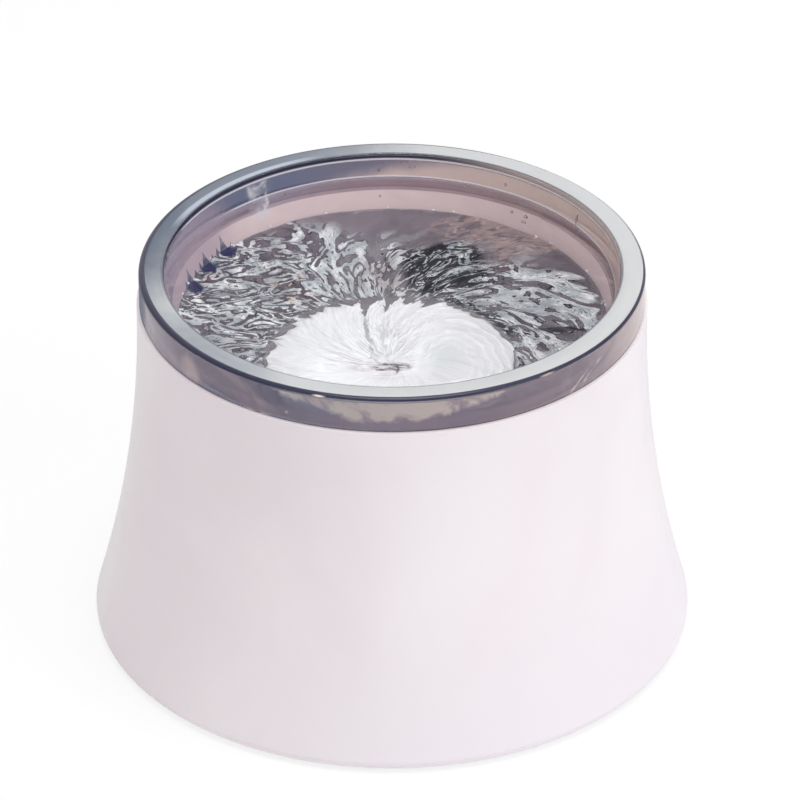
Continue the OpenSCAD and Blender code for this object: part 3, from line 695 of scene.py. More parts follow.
@dataclass(frozen=True)
class Lamp:
    """A square area lamp that points at the bowl; places in metres."""

    name: str
    place: Point
    size: float
    power: float
    colour: Point
    target: Point = (0.0, 0.0, 0.09)

    def build(self) -> None:
        """Makes the lamp and turns it to its target."""
        data = bpy.data.lights.new(self.name, "AREA")
        data.size = self.size
        data.energy = self.power
        data.color = self.colour
        lamp = bpy.data.objects.new(self.name, data)
        lamp.location = self.place
        x, y, z = np.array(self.target) - np.array(self.place)
        lamp.rotation_euler = (math.atan2(math.hypot(x, y), -z), 0.0, math.atan2(x, -y) + math.pi)
        bpy.context.scene.collection.objects.link(lamp)


@dataclass
class Studio:
    """Camera, floor, world and lamps; places in metres."""

    lens: float = 222.9
    sensor: float = 36.0
    place: Point = (0.0, -1.5994, 1.0916)
    dip: float = 0.561
    shift: tuple[float, float] = (0.0099, 0.0134)
    reach: tuple[float, float] = (0.01, 50.0)
    floor_size: float = 6.0
    even: Colour = (1.0, 0.975, 0.985, 1.0)
    even_strength: float = 0.38
    lamps: tuple[Lamp, ...] = (
        Lamp("key_lamp", (1.42, -0.70, 1.05), 1.0, 10.1, (0.985, 1.0, 1.03)),
        Lamp("fill_lamp", (-0.75, -1.4, 0.8), 1.2, 3.5, (1.0, 0.93, 0.93)),
        Lamp("back_lamp", (0.3, 1.3, 1.2), 1.0, 4.0, (0.97, 0.98, 1.0)),
        Lamp("top_lamp", (0.16, -0.16, 2.6), 1.35, 36.0, (1.0, 0.99, 0.98)),
    )

    def camera(self) -> None:
        """Makes the camera and sets it as the scene's."""
        data = bpy.data.cameras.new("view_camera")
        data.sensor_width = self.sensor
        data.lens = self.lens
        data.shift_x, data.shift_y = self.shift
        data.clip_start, data.clip_end = self.reach
        camera = bpy.data.objects.new("view_camera", data)
        camera.location = self.place
        camera.rotation_euler = (math.pi / 2.0 - self.dip, 0.0, 0.0)
        bpy.context.scene.collection.objects.link(camera)
        bpy.context.scene.camera = camera

    def world(self) -> None:
        """Soft even light, and plain white where the eye, gloss or glass sees past the floor."""
        world = bpy.data.worlds.new("studio_world")
        world.use_nodes = True
        bpy.context.scene.world = world
        g = Graph(world.node_tree)
        even = g.glow("Background", self.even, self.even_strength)
        white = g.glow("Background", WHITE, 1.0)
        g.output(g.blend(g.ray(Rays.SEEN), even, white), "ShaderNodeOutputWorld")

    def floor(self) -> None:
        """A square floor under the feet, which is stage and no piece of the fountain."""
        half = 0.5 * self.floor_size / MM
        corners = np.array([[-1, -1, 0], [1, -1, 0], [1, 1, 0], [-1, 1, 0]]) * half
        piece = mesh_piece("studio_floor", corners, np.array([[0, 1, 2, 3]]))
        piece.data.materials.append(PaleFloor().material())

    def build(self) -> None:
        """Makes world, floor and lamps."""
        self.world()
        self.floor()
        for lamp in self.lamps:
            lamp.build()
        bpy.context.scene.view_settings.view_transform = "Standard"


# ---------------------------------------------------------------- bowl


@dataclass
class BowlShape:
    """Measures of the smoked bowl that its wall, the water and the drops share."""

    top: float = 151.0
    floor: float = 58.0
    wall: float = 3.0
    rim_outer: float = 95.0
    rim_inner: float = 85.85
    skirt_low: float = 137.0
    taper: float = 13.1
    corner: float = 16.0
    water: float = 128.5

    @property
    def slope(self) -> float:
        """Sideways run of the wall for each millimetre of height."""
        return math.tan(math.radians(self.taper))

    @property
    def corner_place(self) -> tuple[float, float]:
        """Middle of the round between wall and floor."""
        t = math.radians(self.taper)
        z = self.floor + self.corner
        return self.rim_inner - (self.corner + (self.top - z) * math.sin(t)) / math.cos(t), z

    def wall_at(self, z: Union[float, np.ndarray], grow: float = 0.0) -> Union[float, np.ndarray]:
        """Radius of the inner wall at a height, moved outwards by grow."""
        sideways = grow / math.cos(math.radians(self.taper))
        return self.rim_inner + sideways - (self.top - z) * self.slope

    def hollow(self, grow: float, count: int = 26) -> np.ndarray:
        """Half section of the hollow's corner.

        Args:
            grow: distance outwards from the hollow's surface.
            count: number of points.

        Returns:
            One row (r, z) for each point, from the end of the floor to the start of the wall.
        """
        x, z = self.corner_place
        return arc((x, z), self.corner + grow, -90.0, -self.taper, count)


@dataclass(frozen=True)
class BowlTerms:
    """What the zones of the smoked finish read at a point of the bowl.

    place is the position, z the height, r the radius, side and depth are x and y over the radius.
    broad and fine are noises, drift and grit the same about 0.
    """

    place: Term
    z: Term
    r: Term
    side: Term
    depth: Term
    broad: Term
    fine: Term
    drift: Term
    grit: Term

    @classmethod
    def read(cls, g: Graph) -> "BowlTerms":
        """Makes the terms.

        Args:
            g: the material's graph.

        Returns:
            The terms.
        """
        place = g.place()
        x, y, z = g.axes(place)
        r = g.radius(x, y, 1e-8)
        broad = g.noise(place, scale=22.0, detail=4.0, rough=0.55, warp=1.2)
        fine = g.noise(place, scale=90.0, detail=3.0, rough=0.6, warp=0.5)
        return cls(place, z, r, x / r, y / r, broad, fine, broad - 0.5, fine - 0.5)


@dataclass(frozen=True)
class Smoked(Finish):
    """Clear smoked plastic with painted reflections: pale rim top, cloudy skirt and dark corners.
    """

    name: str = "smoked_clear"
    bend: float = 1.46
    tint: Colour = tone(232, 221, 226)
    # cool and warm: painted reflections, bluish on the left and beige on the right
    cool_reflection: Colour = tone(214, 219, 232)
    warm_reflection: Colour = tone(238, 227, 221)
    low: Colour = tone(228, 212, 216)
    # deep: painted shade, the wall darker under the water line
    deep: Colour = tone(176, 166, 176)
    # line: the corners' dark painted reflection; glint and spark: painted highlights
    line: Colour = tone(38, 38, 64)
    glint: Colour = tone(232, 230, 236)
    spark: Colour = tone(255, 238, 222)
    shadow: Colour = tone(251, 249, 250)
    # rim_pale, rim_dark and bevel_blue: painted reflections on the rim's top and its inner bevel
    rim_pale: Colour = tone(192, 195, 196)
    rim_dark: Colour = tone(78, 92, 110)
    bevel_blue: Colour = tone(186, 194, 210)
    # skirt_dark is the smoke's own tone; the others are painted reflections and gleams, skirt_blue
    # painted shade on the far left
    skirt_dark: Colour = tone(103, 100, 118)
    skirt_mid: Colour = tone(138, 126, 138)
    skirt_pale: Colour = tone(182, 173, 168)
    skirt_warm: Colour = tone(196, 178, 178)
    skirt_blue: Colour = tone(70, 84, 124)
    # painted shade along the skirt's foot, where it meets the shell, with a painted peach glint
    foot_shade_line: Colour = tone(86, 74, 84)
    peach_glint: Colour = tone(214, 184, 160)
    # the wall's bands are painted: blue and beige reflections, mauve shade, pink light on the dish
    # behind, paler mauve far left
    wall_blue: Colour = tone(98, 108, 142)
    wall_beige: Colour = tone(228, 206, 199)
    wall_mauve: Colour = tone(138, 116, 128)
    wall_pink: Colour = tone(240, 222, 223)
    wall_far_left: Colour = tone(184, 166, 180)
    # heights and radii of the zones, in metres
    low_height: Fade = (0.1365, 0.1372)
    deep_height: Fade = (0.1292, 0.1275)
    flat_height: Fade = (0.15045, 0.15080)
    flat_radius: Fade = (0.0858, 0.0864)
    corner_height: Fade = (0.1497, 0.1501)
    corner_radius: Fade = (0.0930, 0.0933)
    foot_height: Fade = (0.13790, 0.13755)
    foot_radius: Fade = (0.0925, 0.0930)
    skirt_radius: Fade = (0.09445, 0.0948)
    wall_radius: Fade = (0.0866, 0.0860)
    wet_radius: Fade = (0.0775, 0.0790)
    wet_height: Band = (0.1290, 0.1480, 0.0003)
    lip_height: Band = (0.1496, 0.1506, 0.0003)
    glint_height: Band = (0.1486, 0.1490, 0.0003)
    edge_radius: Band = (0.0860, 0.0866, 0.0002)
    edge_height: Fade = (0.1503, 0.1506)
    bevel_radius: Fade = (0.0892, 0.0884)
    mauve_height: Fade = (0.1421, 0.1418)
    pink_height: Fade = (0.1373, 0.1364)
    glint_line_height: Band = (0.1419, 0.1423, 0.0002)
    spark_height: Band = (0.1499, 0.1502, 0.0003)
    spark_radius: Fade = (0.0935, 0.0940)
    # middle and half width of the rim's flat top, in metres
    rim_middle: float = 0.0903
    rim_half: float = 0.0036
    # place round the axis of the painted glint streak on the wall, in degrees, and its height
    glint_streak_angle: float = 128.0
    glint_streak_height: Band = (0.1345, 0.1480, 0.0015)
    # heights of the slanting painted glint streaks on the skirt
    slant_height: float = 0.1415
    slant_band: Band = (0.1388, 0.1445, 0.0015)
    # place, inner and outer radius of each painted gleam (a highlight) on the skirt, in metres
    gleams: tuple[tuple[Point, float, float], ...] = (
        ((-0.0740, -0.0596, 0.1425), 0.0020, 0.0075),
        ((-0.0381, -0.0870, 0.1408), 0.0002, 0.0010),
    )
    # place round the axis and half length, in degrees, and strength of each painted glint on the
    # corner
    sparks: tuple[Point, ...] = ((-106.2, 1.9, 1.0), (-53.6, 2.6, 0.45))

    def body(self, g: Graph, at: BowlTerms) -> bpy.types.NodeSocket:
        """Clear body: painted reflections, cooler left and warmer right, and painted shade under
        the water line.

        Args:
            g: the material's graph.
            at: the bowl's terms.

        Returns:
            The shader.
        """
        tint = g.paint(
            self.tint,
            (g.step(at.side + at.drift * 0.9, 0.05, -0.5), self.cool_reflection),
            (g.step(at.side + at.drift * 0.9, 0.1, 0.6), self.warm_reflection),
        )
        tint = g.mix(g.step(at.z, *self.low_height), self.low, tint)
        tint = g.mix(g.step(at.z, *self.deep_height), tint, self.deep)
        return g.surface(
            Base_Color=tint,
            Roughness=0.02 + at.fine * 0.02,
            Transmission_Weight=1.0,
            IOR=self.bend,
            Normal=g.bump(g.noise(at.place, scale=60.0, detail=2.0), 0.05, 0.0006),
        )

    def wall(self, g: Graph, at: BowlTerms) -> tuple[Term, Term]:
        """The wall above the water: bands of painted reflection, shade and light, and a painted
        glint streak.

        Args:
            g: the material's graph.
            at: the bowl's terms.

        Returns:
            The colour and the cover.
        """
        # painted: beige reflection where sunny, mauve shade, pink light, pale glint line and
        # streak; paler mauve towards the far left
        slope = at.side - (at.z - 0.145) * 60.0 + at.drift * 0.5
        sunny = g.step(slope, -0.30, 0.22)
        mauve = g.step(at.z + at.drift * 0.0006, *self.mauve_height)
        pink = g.step(at.z + at.drift * 0.0012, *self.pink_height)
        far_left = g.step(at.side + at.drift * 0.3, -0.72, -0.90)
        glint_line = g.band(at.z, *self.glint_line_height) * (1.0 - far_left)
        aim = math.radians(self.glint_streak_angle)
        toward = at.side * math.cos(aim) + at.depth * math.sin(aim)
        glint_streak = g.step(toward + at.grit * 0.0022, 0.9978, 0.9992)
        glint_streak = glint_streak * g.band(at.z, *self.glint_streak_height) * g.step(at.fine, 0.36, 0.56)
        colour = g.paint(
            self.wall_blue,
            (sunny, self.wall_beige),
            (mauve, self.wall_mauve),
            (pink, self.wall_pink),
            (glint_line, self.glint),
            (far_left * 0.8, self.wall_far_left),
            (glint_streak, self.glint),
        )
        cover = 0.38 + at.drift * 0.5 + pink * 0.24 + glint_line * 0.35 + far_left * 0.3
        cover = cover + sunny * (1.0 - mauve) * (0.40 - g.step(at.side, 0.75, 0.95) * 0.25)
        return colour, g.most(cover, glint_streak * 0.6)

    def rim(self, g: Graph, at: BowlTerms) -> Term:
        """The rim's flat top: a pale painted reflection, with dark painted reflections behind and
        beside.

        Args:
            g: the material's graph.
            at: the bowl's terms.

        Returns:
            The colour.
        """
        bright_way = at.side * 0.95 - at.depth * 0.22
        across = (at.r - self.rim_middle) / self.rim_half
        behind = g.step(at.depth * 0.602 - at.side * 0.799, 0.36, 1.02)
        beside = g.step(-at.side * 0.731 - at.depth * 0.682, 0.90, 1.0)
        sheen = 0.88 - behind * 0.86 - beside * 0.42 + g.step(at.side, 0.7, 0.98) * 0.08
        sheen = sheen + across * bright_way * 0.10 + at.grit * 0.22 + at.drift * 0.2
        # a bluish painted reflection on the inner bevel, behind on the left
        bevel = g.step(at.depth * 0.707 - at.side * 0.707, 0.88, 0.97)
        bevel = bevel * g.step(at.r, *self.bevel_radius)
        return g.paint(
            self.rim_dark, (g.step(sheen, 0.0, 1.0), self.rim_pale), (bevel * 0.75, self.bevel_blue)
        )

    def skirt(self, g: Graph, at: BowlTerms) -> tuple[Term, Term, Term]:
        """The skirt under painted reflections: ragged pale front, warm right, blue left, gleams,
        streaks, beams.

        Args:
            g: the material's graph.
            at: the bowl's terms.

        Returns:
            The colour, and how much a point lies on the pale front or the right, and on the left.
        """
        wide = (abs(at.side) / 0.46) ** 1.3
        ragged = at.z - wide * 0.0086 + at.drift * 0.006 + at.grit * 0.007
        front = g.step(ragged, 0.1389, 0.1414) * g.step(at.z, 0.1496, 0.1490)
        front = front * g.step(at.depth, -0.5, -0.7)
        left = g.step(at.side + at.drift * 0.1, -0.94, -0.985)
        right = g.step(at.side + at.drift * 0.25, 0.72, 0.98)
        pale = g.mix(g.step(at.fine, 0.36, 0.56), self.skirt_mid, self.skirt_pale)
        gleams = [
            (g.near(at.place, spot, inner, outer, at.grit * outer) * 0.8, self.skirt_warm)
            for spot, inner, outer in self.gleams
        ]
        slant = at.side - (at.z - self.slant_height) * 11.0 + at.grit * 0.03
        glint_streak = g.band(slant, 0.722, 0.728, 0.006) + g.band(slant, 0.752, 0.764, 0.008)
        glint_streak = glint_streak * g.band(at.z, *self.slant_band) * g.step(at.depth, 0.0, -0.1)
        beam = g.step(g.sine(at.side * 16.0 + at.z * 330.0) + at.drift * 3.0, 0.7, 1.8)
        # painted reflections, gleams, glint streaks and beams over the smoke, and painted blue
        # shade on the far left
        colour = g.paint(
            self.skirt_dark,
            (g.step(at.broad, 0.44, 0.68), self.skirt_mid),
            (g.step(at.side + at.drift * 0.2, -0.70, -0.86) * 0.9, self.skirt_mid),
            (g.step(at.side, 0.25, 0.6) * 0.5, self.skirt_mid),
            (front, pale),
            (right, self.skirt_warm),
            *gleams,
            (glint_streak * g.step(at.fine, 0.35, 0.6), self.skirt_warm),
            (beam * (1.0 - front) * 0.5, self.skirt_warm),
            (left, self.skirt_blue),
        )
        return colour, g.most(front, right), left

    def spark_at(self, g: Graph, at: BowlTerms, angle: float, half: float, strength: float) -> Term:
        """One painted glint on the rim's outer corner.

        Args:
            g: the material's graph.
            at: the bowl's terms.
            angle, half: place round the axis and half length, in degrees.
            strength: how much of the glint shows in its middle.

        Returns:
            The glint's strength at a point.
        """
        turn, reach = math.radians(angle), math.sin(math.radians(half))
        off = abs(at.side * math.sin(turn) - at.depth * math.cos(turn))
        spark = g.step(off, reach, 0.1 * reach) * g.band(at.z, *self.spark_height) * strength
        return spark * g.step(at.depth, 0.0, -0.1) * g.step(at.r, *self.spark_radius)

    def shader(self, g: Graph) -> bpy.types.NodeSocket:
        """Lays a veil of painted reflections, shade and glints over the clear body, zone by zone.

        Height and radius pick out the rim's top, its corners, the skirt and the wall above and
        below the water line.

        Args:
            g: the material's graph.

        Returns:
            The shader.
        """
        at = BowlTerms.read(g)
        flat = g.step(at.z, *self.flat_height) * g.step(at.r, *self.flat_radius)
        thin = g.step(at.side, 0.2, 0.9) * 0.0008 - g.step(at.side, -0.5, -0.95) * 0.0005
        corner = g.step(at.r - thin, *self.corner_radius) * g.step(at.z, *self.corner_height)
        foot = g.step(at.r, *self.foot_radius) * g.step(at.z, *self.foot_height)
        outside = g.step(at.r, *self.skirt_radius) * (1.0 - corner)
        inside = g.step(at.r, *self.wall_radius)
        # lip, inner edge and corner carry dark painted reflections; glint and sparks are painted
        # highlights
        lip = inside * g.band(at.z, *self.lip_height)
        glint = inside * g.band(at.z, *self.glint_height) * g.step(at.side, -0.98, -0.90)
        inner_edge = g.band(at.r, *self.edge_radius) * g.step(at.z, *self.edge_height)
        wet_wall = inside * g.band(at.z, *self.wet_height) * g.step(at.r, *self.wet_radius)
        smoke_and_reflection, lit, left = self.skirt(g, at)
        bands, band_cover = self.wall(g, at)
        # a painted peach glint on the foot's line of painted shade
        foot_glint = g.step(at.broad, 0.52, 0.62) * g.step(at.z, 0.1372, 0.1374)
        # a pale painted reflection on the lip, at the back right
        pale_lip = g.step(at.side, 0.15, 0.65) * g.step(at.depth, -0.1, 0.1) * 0.75
        sparks = [self.spark_at(g, at, *spark) for spark in self.sparks]
        # the veil: painted reflections, shade and glints, zone by zone
        veil = g.paint(
            self.rim(g, at),
            (outside, smoke_and_reflection),
            (wet_wall, bands),
            (foot, g.mix(foot_glint, self.foot_shade_line, self.peach_glint)),
            (inner_edge * 0.8, self.rim_dark),
            (lip, g.mix(pale_lip, self.line, self.wall_beige)),
            (corner, self.line),
            (glint, self.glint),
            *((spark, self.spark) for spark in sparks),
        )
        cover = g.most(
            flat * 0.88,
            outside * (0.62 + at.broad * 0.2),
            outside * lit * 0.85,
            outside * left * 0.95,
            foot * 0.8,
            corner * 0.95,
            lip * 0.8,
            glint * 0.75,
            wet_wall * band_cover,
            *(spark * 0.95 for spark in sparks),
        )
        # the veil's shader, of painted reflections, shade and glints
        painted_veil = g.surface(
            Base_Color=veil,
            Roughness=0.14 + at.fine * 0.1 + corner * 0.2,
            Specular_IOR_Level=0.2,
            Coat_Weight=flat * 0.25 + 0.03,
            Coat_Roughness=0.04,
        )
        # painted shade on the skirt's far left, in a matte shader
        left_shade_colour = g.mix(at.fine, self.skirt_blue, self.skirt_dark)
        left_shade = g.surface(Base_Color=left_shade_colour, Roughness=0.9)
        body = g.blend(cover, self.body(g, at), painted_veil)
        shown = g.blend(outside * left * 0.8, body, left_shade)
        return g.blend(g.ray(Rays.SHADE) * (1.0 - cover * 0.5), shown, g.clear(self.shadow))


@dataclass
class Bowl:
    """The smoked bowl: wall, floor, folded rim and skirt in one closed surface."""

    shape: BowlShape
    inner_round: float = 0.8
    outer_round: float = 1.8
    low_round: float = 0.5
    boss_radius: float = 4.0
    boss_top: float = 61.0
    bore_radius: float = 1.56
    bore_low: float = 56.98
    steps: int = 360

    def profile(self) -> np.ndarray:
        """Half section from the axis over floor, wall, rim and skirt, back under the floor.

        Returns:
            One row (r, z) for each point.
        """
        s = self.shape
        w, top = s.wall, s.top
        skirt_in = s.rim_outer - w
        tilt = math.radians(s.taper)
        edge = self.inner_round
        # The small round between the wall and the flat of the rim
        cx = s.rim_inner + edge * (1.0 - math.sin(tilt)) / math.cos(tilt)
        inner = arc((cx, top - edge), edge, 180.0 - s.taper, 90.0, 9)
        wide, low_edge = self.outer_round, self.low_round
        outer = arc((s.rim_outer - wide, top - wide), wide, 90.0, 0.0, 13)
        low = arc((s.rim_outer - low_edge, s.skirt_low + low_edge), low_edge, 0.0, -90.0, 6)
        return path(
            (0.0, self.bore_low),
            ((self.bore_radius, self.bore_low), 2),
            ((self.bore_radius, self.boss_top), 3),
            ((self.boss_radius, self.boss_top), 2),
            ((self.boss_radius, s.floor), 3),
            (s.hollow(0.0), 8),
            (inner, 24),
            (outer, 4),
            (low, 5),
            ((skirt_in, s.skirt_low), 2),
            ((skirt_in, top - w), 5),
            ((s.wall_at(top - w, w), top - w), 3),
            (s.hollow(w)[::-1], 24),
            ((0.0, s.floor - w), 8),
        )

    def build(self) -> bpy.types.Object:
        """Makes the bowl.

        Returns:
            The bowl, which stands for its CAD node.
        """
        piece = turned("smoked_bowl", self.profile(), self.steps)
        piece.data.materials.append(Smoked().material())
        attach(piece, "bowl")
        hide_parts("bowl")
        return piece


# ---------------------------------------------------------------- water


@dataclass(frozen=True)
class WaterTop(Finish):
    """Rippled water surface: clear, with painted sky reflections edged in painted dark on the steep
    ripples.
    """

    name: str = "water_top"
    body: Colour = tone(249, 249, 249)
    # painted reflections and highlights: pale, cool, bright, rose; painted dark: edge, gap, deep,
    # splash; warm: a brownish painted reflection
    pale: Colour = tone(212, 216, 218)
    cool_reflection: Colour = tone(166, 173, 179)
    bright: Colour = tone(238, 238, 240)
    rose_glint: Colour = tone(228, 204, 192)
    edge: Colour = tone(34, 34, 44)
    gap: Colour = tone(97, 90, 101)
    deep: Colour = tone(30, 32, 40)
    warm_reflection: Colour = tone(156, 136, 134)
    splash: Colour = tone(42, 44, 80)
    shadow: Colour = (0.96, 0.97, 0.98, 1.0)
    # middles of the calm water, of the painted dark, warm and streaked zones and of a long painted
    # dark trough
    calm_spot: Point = (0.0, -0.031, 0.1285)
    deep_spot: Point = (0.020, 0.036, 0.1285)
    warm_spot: Point = (0.042, 0.064, 0.1285)
    streak_spot: Point = (0.002, 0.032, 0.1285)
    trough_spot: Point = (0.0640, -0.0095, 0.1285)
    trough_squeeze: float = 0.22
    # a slim leaf of painted dark: place along and across its length, its direction and its slimness
    leaf_place: tuple[float, float] = (0.0252, 0.00506)
    leaf_way: tuple[float, float] = (0.339, 0.941)
    leaf_squeeze: float = 0.15
    splash_spots: tuple[Point, ...] = (
        (-0.0756, 0.0215, 0.1285),
        (-0.0712, 0.0355, 0.1285),
        (-0.0640, 0.0475, 0.1285),
    )

    def leaf(self, g: Graph, x: Term, y: Term) -> Term:
        """A slim leaf: near its middle in coordinates squeezed along its length.

        Args:
            g: the material's graph.
            x, y: place on the water.

        Returns:
            1 in the leaf, else 0.
        """
        way_x, way_y = self.leaf_way
        along, across = x * way_x + y * way_y, x * way_y - y * way_x
        middle = (self.leaf_place[0] * self.leaf_squeeze, self.leaf_place[1], 0.0)
        return g.near(g.join(along * self.leaf_squeeze, across, 0.0), middle, 0.0008, 0.0013)

    def trough(self, g: Graph, place: Term, warp: Term) -> Term:
        """A long trough: near its middle in coordinates squeezed along x.

        Args:
            g: the material's graph.
            place: place on the water.
            warp: what shifts its edge.

        Returns:
            1 in the trough, else 0.
        """
        squeeze = self.trough_squeeze
        flat = g.stretch(place, (squeeze, 1.0, 1.0))
        middle = (squeeze * self.trough_spot[0], *self.trough_spot[1:])
        return g.near(flat, middle, 0.0014, 0.0026, warp)

    def shader(self, g: Graph) -> bpy.types.NodeSocket:
        """Paints the ripples' reflections on clear water.

        The patches lie between contour lines of a cloudy noise on a turned drum, so they stretch
        from the middle outwards. On the left the noise is plain, for small wavy ripples. A painted
        dark line follows each contour. The calm water over the cap and along the wall is left
        clear.

        Args:
            g: the material's graph.

        Returns:
            The shader.
        """
        place = g.place()
        x, y, _ = g.axes(place)

        # Noises, and the same about 0
        drum = g.drum(place, across=5.4, along=56.0, twist=9.0)
        small = g.noise(drum, scale=2.6, detail=2.0, rough=0.5, warp=0.8)
        thread = g.noise(drum, scale=3.4, detail=2.0, rough=0.5, warp=1.6)
        shade_of = g.noise(drum, scale=1.7, detail=3.0, rough=0.6)
        wide_drum = g.drum(place, across=1.6, along=22.0, twist=6.0)
        broad = g.noise(wide_drum, scale=1.0, detail=2.0, rough=0.5, warp=0.6)
        wavy = g.stretch(place, (0.7, 1.4, 0.0))
        wavy = g.noise(wavy, scale=74.0, detail=2.5, rough=0.5, warp=1.1)
        fine = g.stretch(place, (0.8, 1.5, 0.0))
        fine = g.noise(fine, scale=140.0, detail=2.0, rough=0.5, warp=1.6)
        left = g.step(x, -0.020, -0.042)
        field = g.noise(drum, scale=1.0, detail=3.0, rough=0.5, warp=1.1)
        field = field * (1.0 - left) + wavy * left
        drift, grit, sway = broad - 0.5, small - 0.5, field - 0.5

        # Zones of the surface
        reach = g.step(x, 0.012, 0.036)
        away = g.vector("DISTANCE", place, self.calm_spot, 1)
        calm = g.step(away + grit * 0.004 - left * 0.0012, 0.0458, 0.0468)
        # hug and deep: painted dark by the back of the cap and behind it
        hug = g.step(away + (thread - 0.5) * 0.014, 0.0530, 0.0485) * calm
        hug = hug * g.step(x, 0.012, 0.024) * g.step(y, -0.022, -0.010)
        deep = g.most(g.near(place, self.deep_spot, 0.017, 0.026, drift * 0.02) * calm, hug)
        back = g.step(y + x * 0.30 + drift * 0.05, 0.070, 0.052)
        shore = g.step(g.radius(x, y) + sway * 0.03 - left * 0.006, 0.0800, 0.0745)
        ring = calm * back * shore
        # a brownish painted reflection at the back right
        warm_reflection = g.near(place, self.warm_spot, 0.016, 0.040, sway * 0.03) * (1.0 - deep)
        streaks = g.near(place, self.streak_spot, 0.006, 0.021, drift * 0.02) * calm
        streaks = streaks * (1.0 - deep * 0.8)
        rough = g.step(broad, 0.36, 0.52)
        centre = g.band(x, -0.016, 0.002, 0.016)
        trough, leaf = self.trough(g, place, grit * 0.002), self.leaf(g, x, y)

        # Contours: the sine of a level that grows across the ripples; painted patches and dark
        # lines follow them
        level = field * (24.0 + left * 17.0 - reach * 5.0 + deep * 8.0)
        level = level + drift * 5.0 + grit * (4.0 - reach * 2.0)
        wave = g.sine(level)
        raised = wave + reach * 0.22
        patch = g.step(raised - deep * 0.75 - hug * 0.3, -0.14, -0.02) * ring
        rim = g.band(raised, -0.36, -0.18, 0.09) * ring
        inner_line = g.band(wave, 0.66, 0.74, 0.07) * g.step(small, 0.46, 0.5) * ring
        fine_dark_contour = g.band(g.sine(level * 2.0 + small * 12.0), -0.06, 0.06, 0.10) * reach * ring
        inner_line = g.most(inner_line, fine_dark_contour * g.step(broad, 0.40, 0.55) * 0.8)
        turn = g.sine(thread * 15.0)
        # painted dark ripple lines, pale painted glint threads in the dark zone, and dark blue
        # painted spots by the splash
        dark_ripple_lines = g.band(g.sine(fine * 24.0), 0.30, 0.70, 0.25) * left * g.step(small, 0.38, 0.50)
        dark_ripple_lines = g.most(dark_ripple_lines, g.band(turn, 0.10, 0.60, 0.25) * g.most(deep, reach * 0.4)) * ring
        glint_threads = g.band(turn, -0.92, -0.72, 0.12) * deep * g.step(small, 0.44, 0.52)
        dark_blue_spots = [
            g.near(place, spot, 0.0026, 0.0052, grit * 0.010) for spot in self.splash_spots
        ]

        # Colours, all painted reflection and shade: of the patches, of the gaps between them, and
        # of both with the lines
        pale = g.paint(
            self.cool_reflection,
            (g.step(shade_of, 0.38, 0.62), self.pale),
            (g.step(wave, 0.86, 0.97) * g.step(shade_of, 0.5, 0.6), self.bright),
            (g.step(g.noise(place, scale=90.0, detail=2.0), 0.62, 0.68) * left * 0.6, self.rose_glint),
            (left * (1.0 - rough) * 0.15, self.gap),
            (deep * 0.15, self.deep),
            (reach * 0.20, self.cool_reflection),
            (centre * 0.40, self.cool_reflection),
        )
        warm_gap = g.mix(g.step(thread + small * 2.0, 1.10, 1.75), self.gap, self.warm_reflection)
        under = g.paint(
            g.mix(centre * 0.18, self.gap, self.pale),
            (deep, self.deep),
            (warm_reflection, warm_gap),
            (warm_reflection * g.step(thread, 0.58, 0.66) * 0.3, self.rose_glint),
        )
        colour = g.paint(
            under,
            (patch, pale),
            (streaks * 0.6, g.mix(patch, self.gap, self.warm_reflection)),
            (g.most(rim, inner_line * 0.8), self.edge),
            (glint_threads * 0.6, self.pale),
            (dark_ripple_lines * (0.85 - left * 0.10), self.edge),
            (g.most(trough, leaf), self.edge),
            *((dark_blue_spot, self.splash) for dark_blue_spot in dark_blue_spots),
        )
        cover = g.most(
            patch * (0.78 + rough * 0.20),
            rim * 0.96,
            ring * 0.5,
            deep * 0.97,
            warm_reflection * 0.70,
            dark_ripple_lines * 0.9,
            trough * 0.85,
            leaf,
            *(dark_blue_spot * 0.85 for dark_blue_spot in dark_blue_spots),
        )
        clear = g.surface(
            Base_Color=self.body, Roughness=0.0, Transmission_Weight=1.0, IOR=WATER_IOR
        )
        veil = g.surface(
            Base_Color=colour, Roughness=0.12 + rough * 0.05, Specular_IOR_Level=0.06
        )
        return g.blend(g.ray(Rays.SHADE), g.blend(cover, clear, veil), g.clear(self.shadow))


@dataclass(frozen=True)
class WaterSide(Finish):
    """The water's sides against wall and cap, where no change of medium shows."""

    name: str = "water_side"
    clear: Colour = (0.97, 0.975, 0.985, 1.0)
    low: Colour = tone(190, 200, 210)
    high: Colour = tone(220, 226, 232)

    def shader(self, g: Graph) -> bpy.types.NodeSocket:
        """Draws a faint cloudy veil on a side that is all but transparent.

        Args:
            g: the material's graph.

        Returns:
            The shader.
        """
        clouds = g.noise(g.place(), scale=30.0, detail=2.0)
        veil = g.surface(Base_Color=g.mix(clouds, self.low, self.high), Roughness=0.3)
        return g.blend(clouds * 0.03, g.clear(self.clear), veil)


